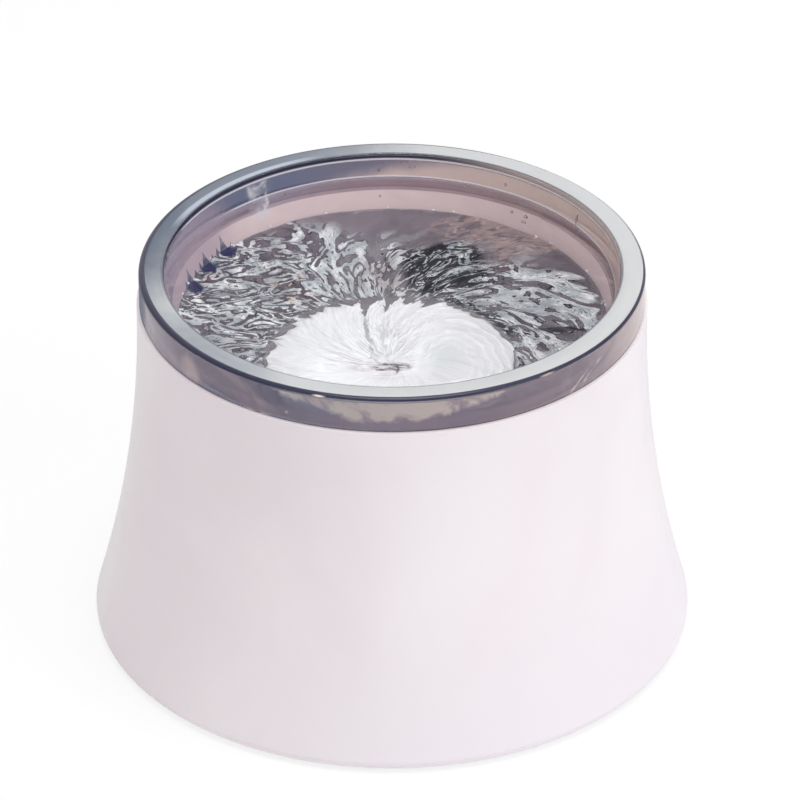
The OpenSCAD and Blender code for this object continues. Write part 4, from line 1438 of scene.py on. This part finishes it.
@dataclass
class Water:
    """The water in the bowl, with a rippled top and a well round the pump and filter."""

    shape: BowlShape
    well_radius: float = 47.8
    well_top: float = 95.0
    floor_gap: float = 0.3
    side_drop: float = 6.0
    rows: int = 130
    steps: int = 560
    # distances from the wall of the last rows, for the water's climb at the wall
    last_rows: Sequence[float] = (2.2, 1.4, 0.8, 0.4, 0.0)
    waves: int = 90
    seed: int = 11
    ripple: float = 0.95
    least_ripple: float = 0.04
    calm_ahead: float = 31.0
    calm_radius: float = 43.0
    calm_fade: float = 14.0
    climb: float = 0.9
    climb_reach: float = 1.2

    def height(self, r: np.ndarray, angle: np.ndarray) -> np.ndarray:
        """Height of the ripples above the still water.

        A sum of waves a cos(n angle + q r + p) with whole numbers n, so it closes round the axis.
        Steep ripples lie round the middle and calmer water over the front of the cap. At the wall
        the water climbs by an exponential of the distance.

        Args:
            r: radius in millimetres.
            angle: angle round the axis.

        Returns:
            The height in millimetres.
        """
        draw = np.random.default_rng(self.seed)
        total = np.zeros(np.broadcast(r, angle).shape)
        for _ in range(self.waves):
            n = draw.integers(9, 62)
            q = draw.normal(0.10, 0.16) * (0.5 + n / 40.0)
            phase = draw.uniform(0.0, 2.0 * np.pi)
            total += (13.0 / n) * np.cos(n * angle + q * r + phase)
        total *= 1.0 / math.sqrt(self.waves)
        x, y = r * np.cos(angle), r * np.sin(angle)
        rough = smooth(
            np.hypot(x, y + self.calm_ahead), self.calm_radius, self.calm_radius + self.calm_fade
        )
        strength = self.least_ripple + (1.0 - self.least_ripple) * rough
        strength *= smooth(r, 2.0, 16.0)
        strength *= 1.0 - 0.55 * smooth(r, 70.0, 79.0)
        climb = self.climb * np.exp((r - self.shape.wall_at(self.shape.water)) / self.climb_reach)
        return self.ripple * total * strength + climb

    def sides(self) -> np.ndarray:
        """The section from the wall down the hollow's corner to the floor and up the well.

        Returns:
            One row (r, z) for each point.
        """
        s = self.shape
        hollow = s.hollow(-WALL_GAP)[::-1]
        start, low = s.water - self.side_drop, s.floor + self.floor_gap
        well = [[self.well_radius, low], [self.well_radius, self.well_top], [0.0, self.well_top]]
        wall = line((s.wall_at(start, -WALL_GAP), start), hollow[0], 10)
        return np.concatenate([wall, hollow[:-3], np.array(well)])

    def build(self) -> bpy.types.Object:
        """Makes the water from its top, sides and well.

        Faces of the top that look up take the rippled finish, all others the sides' finish.

        Returns:
            The water, which stands for its CAD node.
        """
        s = self.shape
        angle = turns(self.steps)
        edge = s.wall_at(s.water) - WALL_GAP
        even = np.linspace(1.0, edge - 3.0, self.rows)
        r = np.concatenate([[0.0], even, edge - np.array(self.last_rows)])
        top = self.height(r[None, :], angle) + s.water
        side = self.sides()
        full_r = np.concatenate([r, side[:, 0]])
        side_z = np.broadcast_to(side[:, 1], (self.steps, len(side)))
        points = polar(full_r, angle, np.concatenate([top, side_z], axis=1))
        faces = grid_faces(self.steps, len(full_r), True, False)
        piece = mesh_piece("fountain_water", points.reshape(-1, 3), faces)
        for finish in (WaterTop(), WaterSide()):
            piece.data.materials.append(finish.material())
        polygons = piece.data.polygons
        normal, centre = np.empty((2, len(polygons) * 3))
        polygons.foreach_get("normal", normal)
        polygons.foreach_get("center", centre)
        is_top = (centre[2::3] > (s.water - 5.0) * MM) & (normal[2::3] > 0.0)
        polygons.foreach_set("material_index", np.where(is_top, 0, 1).astype(np.int32))
        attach(piece, "bowl")
        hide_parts("water")
        return piece


@dataclass(frozen=True)
class DropWater(Finish):
    """Clear beads, with a painted glint or outline shade, or the painted dark blue of a thin
    splash.
    """

    colour: Colour
    veil: Colour
    cover: float
    edge: float = 0.0
    fade: Fade = (0.160, 0.150)
    shadow: Colour = (0.97, 0.98, 0.99, 1.0)

    def shader(self, g: Graph) -> bpy.types.NodeSocket:
        """Draws clear water under a cloudy painted veil that grows to the edge and fades upwards.

        Args:
            g: the material's graph.

        Returns:
            The shader.
        """
        place = g.place()
        clouds = g.noise(place, scale=400.0, detail=2.0)
        low = g.step(g.axes(place)[2], *self.fade)
        cover = self.cover * (0.6 + clouds * 0.8) + g.facing(0.3) * self.edge
        cover = g.math("MINIMUM", cover * (low * 0.75 + 0.25), 1.0)
        mixed = g.mix(clouds * 0.5, self.veil, self.colour)
        clear = g.surface(
            Base_Color=self.colour, Roughness=0.0, Transmission_Weight=1.0, IOR=WATER_IOR
        )
        veil = g.surface(Base_Color=g.mix(low, self.colour, mixed), Roughness=0.1)
        return g.blend(g.ray(Rays.SHADE), g.blend(cover, clear, veil), g.clear(self.shadow))


@dataclass
class WallDrops:
    """Beads of water on the inner wall and bright specks along the water line, as painted glints.
    """

    shape: BowlShape
    # angle round the axis in degrees, height, width and length in millimetres
    beads: Sequence[tuple[float, float, float, float]] = (
        (93.5, 144.4, 1.2, 1.7), (84.7, 146.0, 3.0, 1.5), (58.5, 144.7, 1.2, 1.5),
        (55.5, 135.1, 1.3, 1.3), (50.9, 135.1, 1.9, 1.5), (51.3, 132.9, 2.2, 1.2),
        (32.9, 144.2, 1.1, 4.6), (31.6, 140.4, 0.9, 2.6), (93.3, 134.2, 0.9, 1.2),
        (70.0, 141.0, 0.9, 1.1), (120.0, 140.4, 0.7, 1.0), (206.0, 139.0, 0.8, 1.2),
        (318.0, 141.5, 0.9, 1.4), (262.0, 137.5, 0.7, 1.1),
    )
    # out, across and along, as shares of a bead's width, width and length
    bead_shares: Point = (0.45, 0.5, 0.5)
    specks: int = 34
    speck_shares: Point = (1.0, 1.3, 0.9)
    speck_lift: float = 0.9
    seed: int = 23

    def dome(self, around: int = 20, rows: int = 8) -> np.ndarray:
        """Unit bead: (out, across, along) = (cos b, sin b cos a, sin b sin a), with a flat back.

        Args:
            around, rows: size of the grid over a and b.

        Returns:
            Points of the grid, closed by a last row in the middle of the back.
        """
        a = turns(around)
        b = np.linspace(0.0, 0.5 * np.pi, rows)[None, :]
        out = np.broadcast_to(np.cos(b), (around, rows))
        points = np.stack([out, np.sin(b) * np.cos(a), np.sin(b) * np.sin(a)], axis=2)
        return np.concatenate([points, np.zeros((around, 1, 3))], axis=1)

    def placed(self, angle: np.ndarray, height: np.ndarray, size: np.ndarray) -> np.ndarray:
        """Puts a dome at each place on the wall.

        Args:
            angle: angles round the axis, in radians.
            height: heights in millimetres.
            size: one row (out, across, along) for each bead.

        Returns:
            Points, one block for each bead.
        """
        tilt = math.radians(self.shape.taper)
        flat, up = math.cos(tilt), np.full_like(angle, math.sin(tilt))
        inward = np.stack([-np.cos(angle) * flat, -np.sin(angle) * flat, up], 1)
        across = np.stack([-np.sin(angle), np.cos(angle), np.zeros_like(angle)], 1)
        along = np.cross(across, inward)
        r = self.shape.wall_at(height) - WALL_GAP
        spot = polar(r, angle, height)
        axes = np.stack([inward, across, along], axis=1) * size[:, :, None]
        return spot[:, None, None, :] + np.einsum("ijk,nkl->nijl", self.dome(), axes)

    def piece(self, name: str, blocks: np.ndarray, finish: DropWater) -> bpy.types.Object:
        """One mesh from all blocks.

        Args:
            name: the piece's name.
            blocks: points, one block for each bead.
            finish: the finish of all beads.

        Returns:
            The piece, which rides on the bowl.
        """
        count, around, rows, _ = blocks.shape
        faces = grid_faces(around, rows, True, False)
        shifts = (np.arange(count) * around * rows)[:, None, None]
        piece = mesh_piece(name, blocks.reshape(-1, 3), (faces[None] + shifts).reshape(-1, 4))
        piece.data.materials.append(finish.material())
        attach(piece, "bowl")
        return piece

    def build(self) -> list[bpy.types.Object]:
        """Makes the beads and the specks.

        Returns:
            The two pieces.
        """
        data = np.array(self.beads)
        size = data[:, [2, 2, 3]] * self.bead_shares
        beads = self.placed(np.radians(data[:, 0]), data[:, 1], size)
        draw = np.random.default_rng(self.seed)
        angle = draw.uniform(0.0, 2.0 * np.pi, self.specks)
        height = self.shape.water + self.speck_lift + draw.uniform(0.0, 0.7, self.specks)
        size = draw.uniform(0.18, 0.48, self.specks)[:, None] * self.speck_shares
        specks = self.placed(angle, height, size)
        # beads: painted shade at the outline; specks: painted near-white glints
        clear = DropWater("bead_water", tone(236, 230, 234), tone(112, 94, 104), 0.15, 0.8)
        bright = DropWater("speck_water", tone(250, 250, 250), tone(246, 246, 248), 0.9)
        return [self.piece("wall_beads", beads, clear), self.piece("line_specks", specks, bright)]


@dataclass
class WallSplash:
    """Thin pointed tongues of water that climb the wall where the swirl meets it."""

    shape: BowlShape
    first: float = 136.0
    last: float = 168.0
    foot: float = 127.6
    # angle in degrees, height above the water line and half width in degrees
    tongues: Sequence[Point] = (
        (139.8, 2.2, 1.6), (142.8, 7.4, 2.6), (145.6, 3.6, 1.8), (148.2, 2.4, 1.5),
        (151.5, 6.2, 3.0), (154.4, 3.8, 1.6), (157.6, 2.8, 1.8), (161.6, 6.8, 2.8),
        (164.6, 3.2, 1.6),
    )
    thick: float = 0.45
    end_fade: float = 3.0
    steps: int = 220
    rows: int = 12
    # turn in degrees for each millimetre of height
    lean: float = 0.13

    def rise(self, angle: np.ndarray) -> np.ndarray:
        """Height of the tongues.

        The largest of height (1 - |a - a_i| / width)^1.7, 0 past the width, which is 0.7 of the
        half width before the tongue's middle and the whole after it.

        Args:
            angle: angle round the axis, in degrees.

        Returns:
            The height in millimetres.
        """
        peaks = []
        for at, high, wide in self.tongues:
            width = wide * np.where(angle > at, 1.0, 0.7)
            peaks.append(high * np.clip(1.0 - np.abs(angle - at) / width, 0.0, 1.0) ** 1.7)
        return np.max(np.stack(peaks), axis=0)

    def build(self) -> bpy.types.Object:
        """Makes the splash as a closed sheet that lies on the wall and thins out upwards.

        Returns:
            The splash, which rides on the bowl.
        """
        angle = np.linspace(self.first, self.last, self.steps)[:, None]
        fade = smooth(angle, self.first, self.first + self.end_fade)
        fade = fade * smooth(self.last - angle, 0.0, self.end_fade)
        v = np.linspace(0.0, 1.0, self.rows)[None, :]
        z = self.foot + v * (1.0 + self.rise(angle) * fade)
        wall = self.shape.wall_at(z) - WALL_GAP
        inner = wall - self.thick * (1.0 - v) ** 0.6 * (0.3 + 0.7 * fade)
        r = np.concatenate([wall, inner[:, ::-1]], axis=1)
        z = np.concatenate([z, z[:, ::-1]], axis=1)
        turn = np.radians(angle + self.lean * (z - self.foot))
        points = polar(r, turn, z)
        ends = np.broadcast_to(points.mean(axis=1, keepdims=True), points.shape)
        points = np.concatenate([ends[:1], points, ends[-1:]], axis=0)
        faces = grid_faces(points.shape[0], points.shape[1], False, True)
        piece = mesh_piece("wall_splash", points.reshape(-1, 3), faces)
        # the splash's dark blue is a painted dark reflection, fading upwards
        blue, dark = tone(176, 176, 194), tone(44, 46, 80)
        finish = DropWater("splash_water", blue, dark, 1.3, fade=(0.1345, 0.1308))
        piece.data.materials.append(finish.material())
        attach(piece, "bowl")
        return piece


# ---------------------------------------------------------------- swirl cap


@dataclass(frozen=True)
class CapWhite(Finish):
    """Bright white cap with painted shade in its creases, after the mesh's own crease attribute."""

    name: str = "cap_white"
    white: Colour = tone(252, 252, 252)
    # crease and slot: painted shade in creases and slots; the pinkish colour: painted shadow round
    # the middle
    crease: Colour = tone(168, 166, 170)
    slot: Colour = tone(70, 64, 70)
    soft: Colour = tone(222, 230, 227)
    pink_shadow: Colour = tone(204, 186, 194)
    soft_spot: Point = (0.0205, 0.004, 0.088)
    soft_stretch: Point = (1.0, 0.78, 1.0)
    # the painted shade round the middle: stretches, and the middles of the slots' shade and of two
    # painted shadows
    mark_stretch: Point = (0.42, 1.0, 0.0)
    dash_stretch: Point = (170.0, 860.0, 0.0)
    slot_spot: Point = (0.0001, -0.0022, 0.0)
    left_shadow_spot: Point = (-0.0042, -0.0030, 0.0)
    lower_spot: Point = (-0.0010, -0.0085, 0.0)

    def shader(self, g: Graph) -> bpy.types.NodeSocket:
        """Paints shade: grey in creases up to 1, the dark of a slot past 1, and shadows round the
        middle.

        Args:
            g: the material's graph.

        Returns:
            The shader.
        """
        place = g.place()
        depth = g.term("ShaderNodeAttribute", {"attribute_name": "crease"}, None, "Fac")
        clouds = g.drum(place, across=7.0, along=60.0, twist=20.0)
        clouds = g.noise(clouds, scale=1.0, detail=4.0, rough=0.6, warp=0.8)
        dashes = g.stretch(place, self.dash_stretch)
        dashes = g.noise(dashes, scale=1.0, detail=2.0, rough=0.5, warp=0.4)
        oval = g.stretch(place, self.soft_stretch)
        flat = g.stretch(place, self.mark_stretch)
        ragged = dashes - 0.5
        middle = g.near(flat, self.slot_spot, 0.0024, 0.0036, ragged * 0.002)
        left_shadow = g.near(flat, self.left_shadow_spot, 0.0014, 0.0046, ragged * 0.004)
        lower = g.near(flat, self.lower_spot, 0.0010, 0.0050, ragged * 0.006)
        # painted shade: faint in the clouds, grey in creases, dark in slots, pinkish shadows and
        # dark dashes round the middle
        colour = g.paint(
            self.white,
            (g.near(oval, self.soft_spot, 0.002, 0.012) * 0.5, self.soft),
            (g.step(clouds, 0.55, 0.3) * 0.2, self.crease),
            (g.step(depth, 0.2, 1.0) * 0.75, self.crease),
            (g.most(left_shadow, lower * 0.7) * g.step(dashes, 0.40, 0.60) * 0.8, self.pink_shadow),
            (middle * 0.5, self.pink_shadow),
            (middle * g.step(dashes, 0.46, 0.52) * 0.9, self.slot),
            (g.step(depth, 1.2, 1.8), self.slot),
        )
        bent = g.bump(clouds, 0.25, 0.0008)
        return g.surface(Base_Color=colour, Roughness=0.25 + clouds * 0.1, Normal=bent)


@dataclass
class SwirlCap:
    """White round cap: a crown of feathered blades, a curl, outlet slots and a skirt."""

    radius: float = 48.3
    skirt_inner: float = 44.45
    skirt_outer: float = 46.4
    skirt_low: float = 79.4
    skirt_step: float = 1.2
    crown_low: float = 86.3
    crown_top: float = 89.3
    crown_inner: float = 8.4
    under: float = 84.6
    relief: float = 1.5
    hub_radius: float = 8.6
    hub_fade: tuple[float, float] = (3.5, -3.0)
    hub_top: float = 87.8
    bearing_radius: float = 9.0
    slots: int = 6
    slot_width: float = 1.2
    slot_from: float = 1.8
    slot_to: float = 7.2
    slot_depth: float = 2.4
    slot_sweep: float = 0.15
    slot_side_edge: float = 0.15
    slot_end_edge: float = 0.2
    # rise of the back tips, their place in degrees and their spread
    tips: Point = (2.2, 95.0, 50.0)
    # lean of the edge in radians, its place in degrees and its spread
    edge_lean: Point = (-0.062, 90.0, 40.0)
    edge_drop: float = 0.3
    curl: tuple[float, float] = (20.0, 2.5)
    curl_from: float = 14.0
    curl_pitch: float = 3.7
    fold_width: float = 0.55
    # whole numbers of waves round the cap that make up the feathers
    feather_waves: Sequence[int] = (11, 17, 26, 35, 46, 58, 71, 85, 101, 118, 136)
    # angle round the axis in degrees and radius in millimetres of the outline's tips and valleys
    marks: Sequence[tuple[float, float]] = (
        (0.0, 46.2), (7.5, 46.7), (12.0, 46.2), (14.6, 48.5), (20.0, 49.3),
        (26.0, 47.6), (37.3, 48.8), (44.0, 47.9), (50.4, 46.8), (54.9, 47.5),
        (59.5, 46.6), (64.9, 47.2), (69.5, 47.4), (73.5, 44.4), (76.4, 40.4),
        (78.9, 46.8), (81.7, 44.2), (85.0, 42.8), (87.3, 41.8), (88.3, 48.9),
        (91.0, 45.0), (92.8, 40.0), (94.7, 36.2), (97.5, 46.3), (101.3, 43.7),
        (103.7, 41.2), (105.3, 37.6), (107.6, 33.4), (109.0, 46.2), (111.0, 45.2),
        (113.6, 43.3), (115.6, 46.0), (124.2, 48.8), (127.0, 45.4), (132.3, 48.6),
        (134.2, 45.6), (142.2, 49.4), (143.6, 45.4), (149.0, 46.4), (155.9, 49.3),
        (157.4, 45.0), (160.9, 49.0), (162.6, 45.8), (170.6, 49.1), (178.0, 47.5),
        (190.0, 47.6), (203.0, 46.6), (220.0, 47.2), (245.0, 46.7), (270.0, 47.2),
        (300.0, 46.8), (330.0, 47.0), (350.0, 46.0),
    )
    steps: int = 960
    rows: int = 94
    seed: int = 5

    def outline(self, angle: np.ndarray) -> np.ndarray:
        """Radius of the feathered outline.

        Straight runs between the marks, plus a slight ripple of cosines of the angle.

        Args:
            angle: angle round the axis.

        Returns:
            The radius in millimetres.
        """
        marks = np.array(self.marks)
        ripple = 0.22 * np.cos(31.0 * angle + 0.7) + 0.16 * np.cos(53.0 * angle + 2.0)
        return np.interp(np.degrees(angle), marks[:, 0], marks[:, 1], period=360.0) + ripple

    def feathers(self, r: np.ndarray, angle: np.ndarray) -> np.ndarray:
        """Relief of the fine radial feathers, -1 in a crease and 1 on a ridge.

        Formula: 1 - 2 |w|, with w a sum of cosines of whole multiples of the angle plus a turn
        that grows with the radius.

        Args:
            r: radius in millimetres.
            angle: angle round the axis.

        Returns:
            The relief.
        """
        draw = np.random.default_rng(self.seed)
        total = np.zeros(np.broadcast(r, angle).shape)
        for n in self.feather_waves:
            phase, lean = draw.uniform(0.0, 2.0 * np.pi), draw.normal(0.0, 0.05)
            wave = np.cos(n * (angle + 0.010 * r) + lean * n * 0.08 * r + phase)
            total += wave / (n / self.feather_waves[0]) ** 0.35
        return 1.0 - 2.0 * np.clip(np.abs(total) / 1.8, 0.0, 1.0)

    def shells(self, x: np.ndarray, y: np.ndarray) -> np.ndarray:
        """Relief of the curl: wavy ridges one outside the other round the curl's middle.

        Formula: (0.5 + 0.5 cos(2 pi (d - from) / pitch))^5, with d the distance from the middle
        plus slow waves of the direction. A wave of direction and distance breaks the ridges up.

        Args:
            x, y: place in millimetres.

        Returns:
            The relief, 1 on a ridge and about 0 between.
        """
        dx, dy = x - self.curl[0], y - self.curl[1]
        way = np.arctan2(dy, dx)
        away = np.hypot(dx, dy * 0.78) + 0.9 * np.sin(3.0 * way + 0.8) + 0.5 * np.sin(8.0 * way)
        away = away + 2.2 * way + 0.20 * np.sin(19.0 * way + 0.4 * away) + 0.12 * np.sin(31.0 * way)
        turn = 2.0 * np.pi * (away - self.curl_from) / self.curl_pitch
        broken = 0.30 + 0.70 * smooth(np.sin(3.0 * way + 0.9 * away + 1.0), -0.6, 0.5)
        return (0.5 + 0.5 * np.cos(turn)) ** 5 * broken * smooth(away, 8.0, 12.0)

    def ground(self, r: np.ndarray) -> np.ndarray:
        """Height of the crown without relief: an arch between hub and edge, and the flat hub.

        Args:
            r: radius in millimetres.

        Returns:
            The height in millimetres.
        """
        middle = 0.5 * (self.crown_inner + self.skirt_outer)
        half = middle - self.crown_inner
        arch = 1.0 - ((r - middle) / half) ** 2
        arch = self.crown_low + (self.crown_top - self.crown_low) * arch
        hub = smooth(r, *(self.hub_radius + reach for reach in self.hub_fade))
        return np.maximum(arch, self.crown_low - 0.2) * (1.0 - hub) + self.hub_top * hub

    def slot_at(self, r: np.ndarray, angle: np.ndarray) -> np.ndarray:
        """The outlet slots, swept and the same in every sixth of a turn.

        Args:
            r: radius in millimetres.
            angle: angle round the axis.

        Returns:
            1 in a slot, else 0.
        """
        step = 2.0 * np.pi / self.slots
        turned_by = np.mod(angle + self.slot_sweep * (r - 4.5) + 0.5 * step, step) - 0.5 * step
        half, side_edge, end = 0.5 * self.slot_width, self.slot_side_edge, self.slot_end_edge
        slot = smooth(np.abs(r * np.sin(turned_by)), half + side_edge, half - side_edge)
        slot = slot * smooth(r, self.slot_from - end, self.slot_from + end)
        return slot * smooth(r, self.slot_to + end, self.slot_to - end)

    def top(self, r: np.ndarray, angle: np.ndarray) -> tuple[np.ndarray, np.ndarray]:
        """Height and crease depth of the crown and the hub.

        On the crown stand the feathers, higher on the fan to the right of the fold, and they give
        way to the curl's ridges on the right. The slots are cut into the hub.

        Args:
            r: radius in millimetres.
            angle: angle round the axis.

        Returns:
            The height in millimetres, and the painted shade: 0 on open ground, 1 in a crease, 2 in
            a slot.
        """
        x, y = r * np.cos(angle), r * np.sin(angle)
        right = smooth(x, 7.0, 11.0) * smooth(y + 0.4 * x, -26.0, -10.0)
        right = right * smooth(np.degrees(np.arctan2(y, x)), 66.0, 52.0)
        feather, shells = self.feathers(r, angle), self.shells(x, y)
        fold_x = -8.0 - 2.6 * smooth(y, 2.0, 32.0)
        fold = bell(x, fold_x, self.fold_width) * smooth(y, 1.0, 9.0)
        fan = smooth(x - fold_x, -0.4, 0.8) * smooth(y, -1.0, 5.0) * (1.0 - right)
        rise = (1.0 - right) * (0.28 + (0.17 + 0.25 * fan) * feather)
        rise = rise + right * (0.55 * shells - 0.05) + 0.45 * fan - 0.5 * fold
        inner = smooth(r, 2.0, 9.0)
        relief = self.relief * rise * inner * smooth(r, 0.0, 20.0)
        # the crease values set painted shade: in the feathers' creases, along the curl's grooves,
        # in the fold and in the slots
        lines = smooth(-feather, -0.1 + 0.2 * (1.0 - fan), 0.9)
        strength = fan * (0.50 + 0.25 * smooth(r, 40.0, 15.0))
        strength = strength + (1.0 - fan) * (0.30 + 0.50 * smooth(r, 38.0, 12.0))
        strength = strength * (1.0 - 0.6 * smooth(y, -1.0, -6.0))
        curl_lines = right * (0.42 - 0.42 * smooth(shells, 0.0, 0.3)) * smooth(r, 12.0, 18.0)
        dark_fold = fold * (0.30 + 0.70 * smooth(y, 12.0, 30.0))
        crease = inner * (1.0 - right) * lines * strength + curl_lines + dark_fold
        slot = self.slot_at(r, angle)
        shown = 0.35 + 0.65 * smooth(y, 2.2, 0.2)
        tip_rise, tip_place, tip_spread = self.tips
        tips = tip_rise * smooth(r, 36.0, 46.0) * bell(np.degrees(angle), tip_place, tip_spread)
        height = self.ground(r) + relief + tips - self.slot_depth * slot
        return height, np.maximum(crease, shown * slot)

    def build(self) -> bpy.types.Object:
        """Makes the cap as one closed surface.

        Returns:
            The cap, which stands for its CAD node.
        """
        angle = turns(self.steps)
        u = np.linspace(0.0, 1.0, self.rows)[None, :]
        r = u * self.outline(angle)
        height, crease = self.top(r, angle)
        height = height - self.edge_drop * smooth(u, 0.97, 1.0)
        lean, lean_place, lean_spread = self.edge_lean
        lean = lean * smooth(r, 34.0, 47.0) * bell(np.degrees(angle), lean_place, lean_spread)
        section = np.array(
            [
                (self.skirt_outer, self.crown_low - self.skirt_step),
                (self.skirt_outer, self.skirt_low),
                (self.skirt_inner, self.skirt_low),
                (self.skirt_inner, self.under),
                (self.bearing_radius, self.under),
                (0.0, self.under),
            ]
        )
        under_r, under_z = (np.broadcast_to(part, (self.steps, len(part))) for part in section.T)
        notched = np.minimum(under_r, r[:, -1:] - 0.05 * (self.radius - under_r))
        full_r = np.concatenate([r, notched], axis=1)
        full_z = np.concatenate([height, under_z], axis=1)
        under_lean = np.broadcast_to(lean[:, -1:], under_r.shape)
        full_turn = angle + np.concatenate([lean, under_lean], axis=1)
        points = polar(full_r, full_turn, full_z)
        deep = {"crease": np.concatenate([crease, np.zeros_like(under_r)], axis=1).ravel()}
        faces = grid_faces(self.steps, full_r.shape[1], True, False)
        piece = mesh_piece("feathered_cap", points.reshape(-1, 3), faces, values=deep)
        piece.data.materials.append(CapWhite().material())
        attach(piece, "cap")
        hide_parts("swirl_cap")
        return piece


# ---------------------------------------------------------------- dressing of the CAD nodes


FINISHES = {
    "outer_shell": ShellGloss(),
    "cradle": Moulded("cradle_white", tone(236, 232, 234), 0.45),
    "bottom_plate": Moulded("plate_white", tone(228, 226, 228), 0.5, 700.0, 0.00008),
    "foot_pads": Moulded("foot_rubber", tone(92, 92, 95), 0.75, 1400.0, 0.0001),
    "motor_bracket": Metal("bracket_sheet", (0.78, 0.78, 0.80, 1.0), 0.38, (1.0, 10.0, 1.0)),
    "drive_motor": Metal("motor_can", (0.62, 0.62, 0.64, 1.0), 0.32, (1.0, 1.0, 0.1)),
    "battery_holder": Moulded("holder_black", tone(38, 38, 41), 0.5),
    "battery_cells": Moulded("cell_sleeve", tone(60, 104, 150), 0.22, 300.0, 0.00003, 0.05, 0.5),
    "battery_contacts": Metal("contact_strip", (0.80, 0.70, 0.42, 1.0), 0.3),
    "battery_leads": Moulded("lead_red", tone(160, 30, 26), 0.4, 600.0, 0.00003),
    "motor_leads": Moulded("lead_orange", tone(214, 110, 30), 0.4, 600.0, 0.00003),
    "rear_panel": Moulded("panel_grey", tone(204, 204, 208), 0.45),
    "control_board": Moulded("board_green", tone(20, 92, 54), 0.35, 500.0, 0.00003, 0.12),
    "board_components": Moulded("component_black", tone(44, 44, 47), 0.4),
    "charge_socket": Metal("socket_shell", (0.72, 0.72, 0.74, 1.0), 0.28),
    "button_switch": Moulded("switch_black", tone(40, 40, 43), 0.45),
    "status_led": Lens("led_lens", tone(206, 240, 196), 0.5),
    "light_pipe": Lens("pipe_lens", tone(236, 244, 240), 0.85),
    "motor_shaft": Metal("shaft_steel", (0.72, 0.72, 0.73, 1.0), 0.22),
    "drive_hub": Moulded("hub_dark", tone(52, 66, 78), 0.42),
    "drive_magnets": Metal("magnet_plate", (0.75, 0.75, 0.77, 1.0), 0.15),
    "power_button": Moulded("button_white", tone(238, 234, 237), 0.3),
    "switch_plunger": Moulded("plunger_white", tone(225, 224, 226), 0.4),
    "pump_shaft": Moulded("shaft_ceramic", tone(238, 236, 228), 0.2, 1500.0, 0.00002),
    "impeller": Moulded("impeller_blue", tone(72, 104, 168), 0.4),
    "impeller_bush": Moulded("bush_tan", tone(176, 158, 120), 0.5),
    "impeller_magnets": Granular(
        "ferrite", tone(70, 70, 74), tone(40, 40, 43), 2500.0, 0.6, 0.0001
    ),
    "pump_housing": Moulded("housing_white", tone(232, 231, 233), 0.4),
    # these greys double as painted shade: they darken the gaps seen under the cap's notches
    "filter_box": Moulded("filter_grey", tone(128, 125, 136), 0.4),
    "filter_casing": Moulded("casing_grey", tone(116, 118, 128), 0.5),
    "filter_foam": Granular("foam_grey", tone(72, 76, 82), tone(24, 26, 30), 900.0, 0.9, 0.0008),
    "carbon_media": Granular("carbon_black", tone(46, 46, 50), tone(8, 8, 10), 520.0, 0.6, 0.0012),
    "filter_lid": Moulded("lid_grey", tone(92, 88, 98), 0.4),
}
SCREWS = Metal("screw_zinc", (0.72, 0.72, 0.73, 1.0), 0.3)


def dress_frame() -> None:
    """Gives every CAD node its finish; all kinds of screws share one."""
    screw = SCREWS.material()
    for name, node in sorted(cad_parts.items()):
        finish = FINISHES.get(name)
        material = finish.material() if finish else screw
        for place in node.material_slots:
            place.material = material
        LOG.info("dressed %s with %s", name, material.name)


def main() -> None:
    """Builds the view, the pieces and their finishes, in order."""
    logging.basicConfig(level=logging.INFO, format="%(message)s")
    studio = Studio()
    studio.camera()
    studio.build()
    dress_frame()
    shape = BowlShape()
    for part in (Bowl(shape), Water(shape), WallDrops(shape), WallSplash(shape), SwirlCap()):
        made = part.build()
        for piece in made if isinstance(made, list) else [made]:
            LOG.info("made %s: %d faces", piece.name, len(piece.data.polygons))


if __name__ == "__main__":
    main()
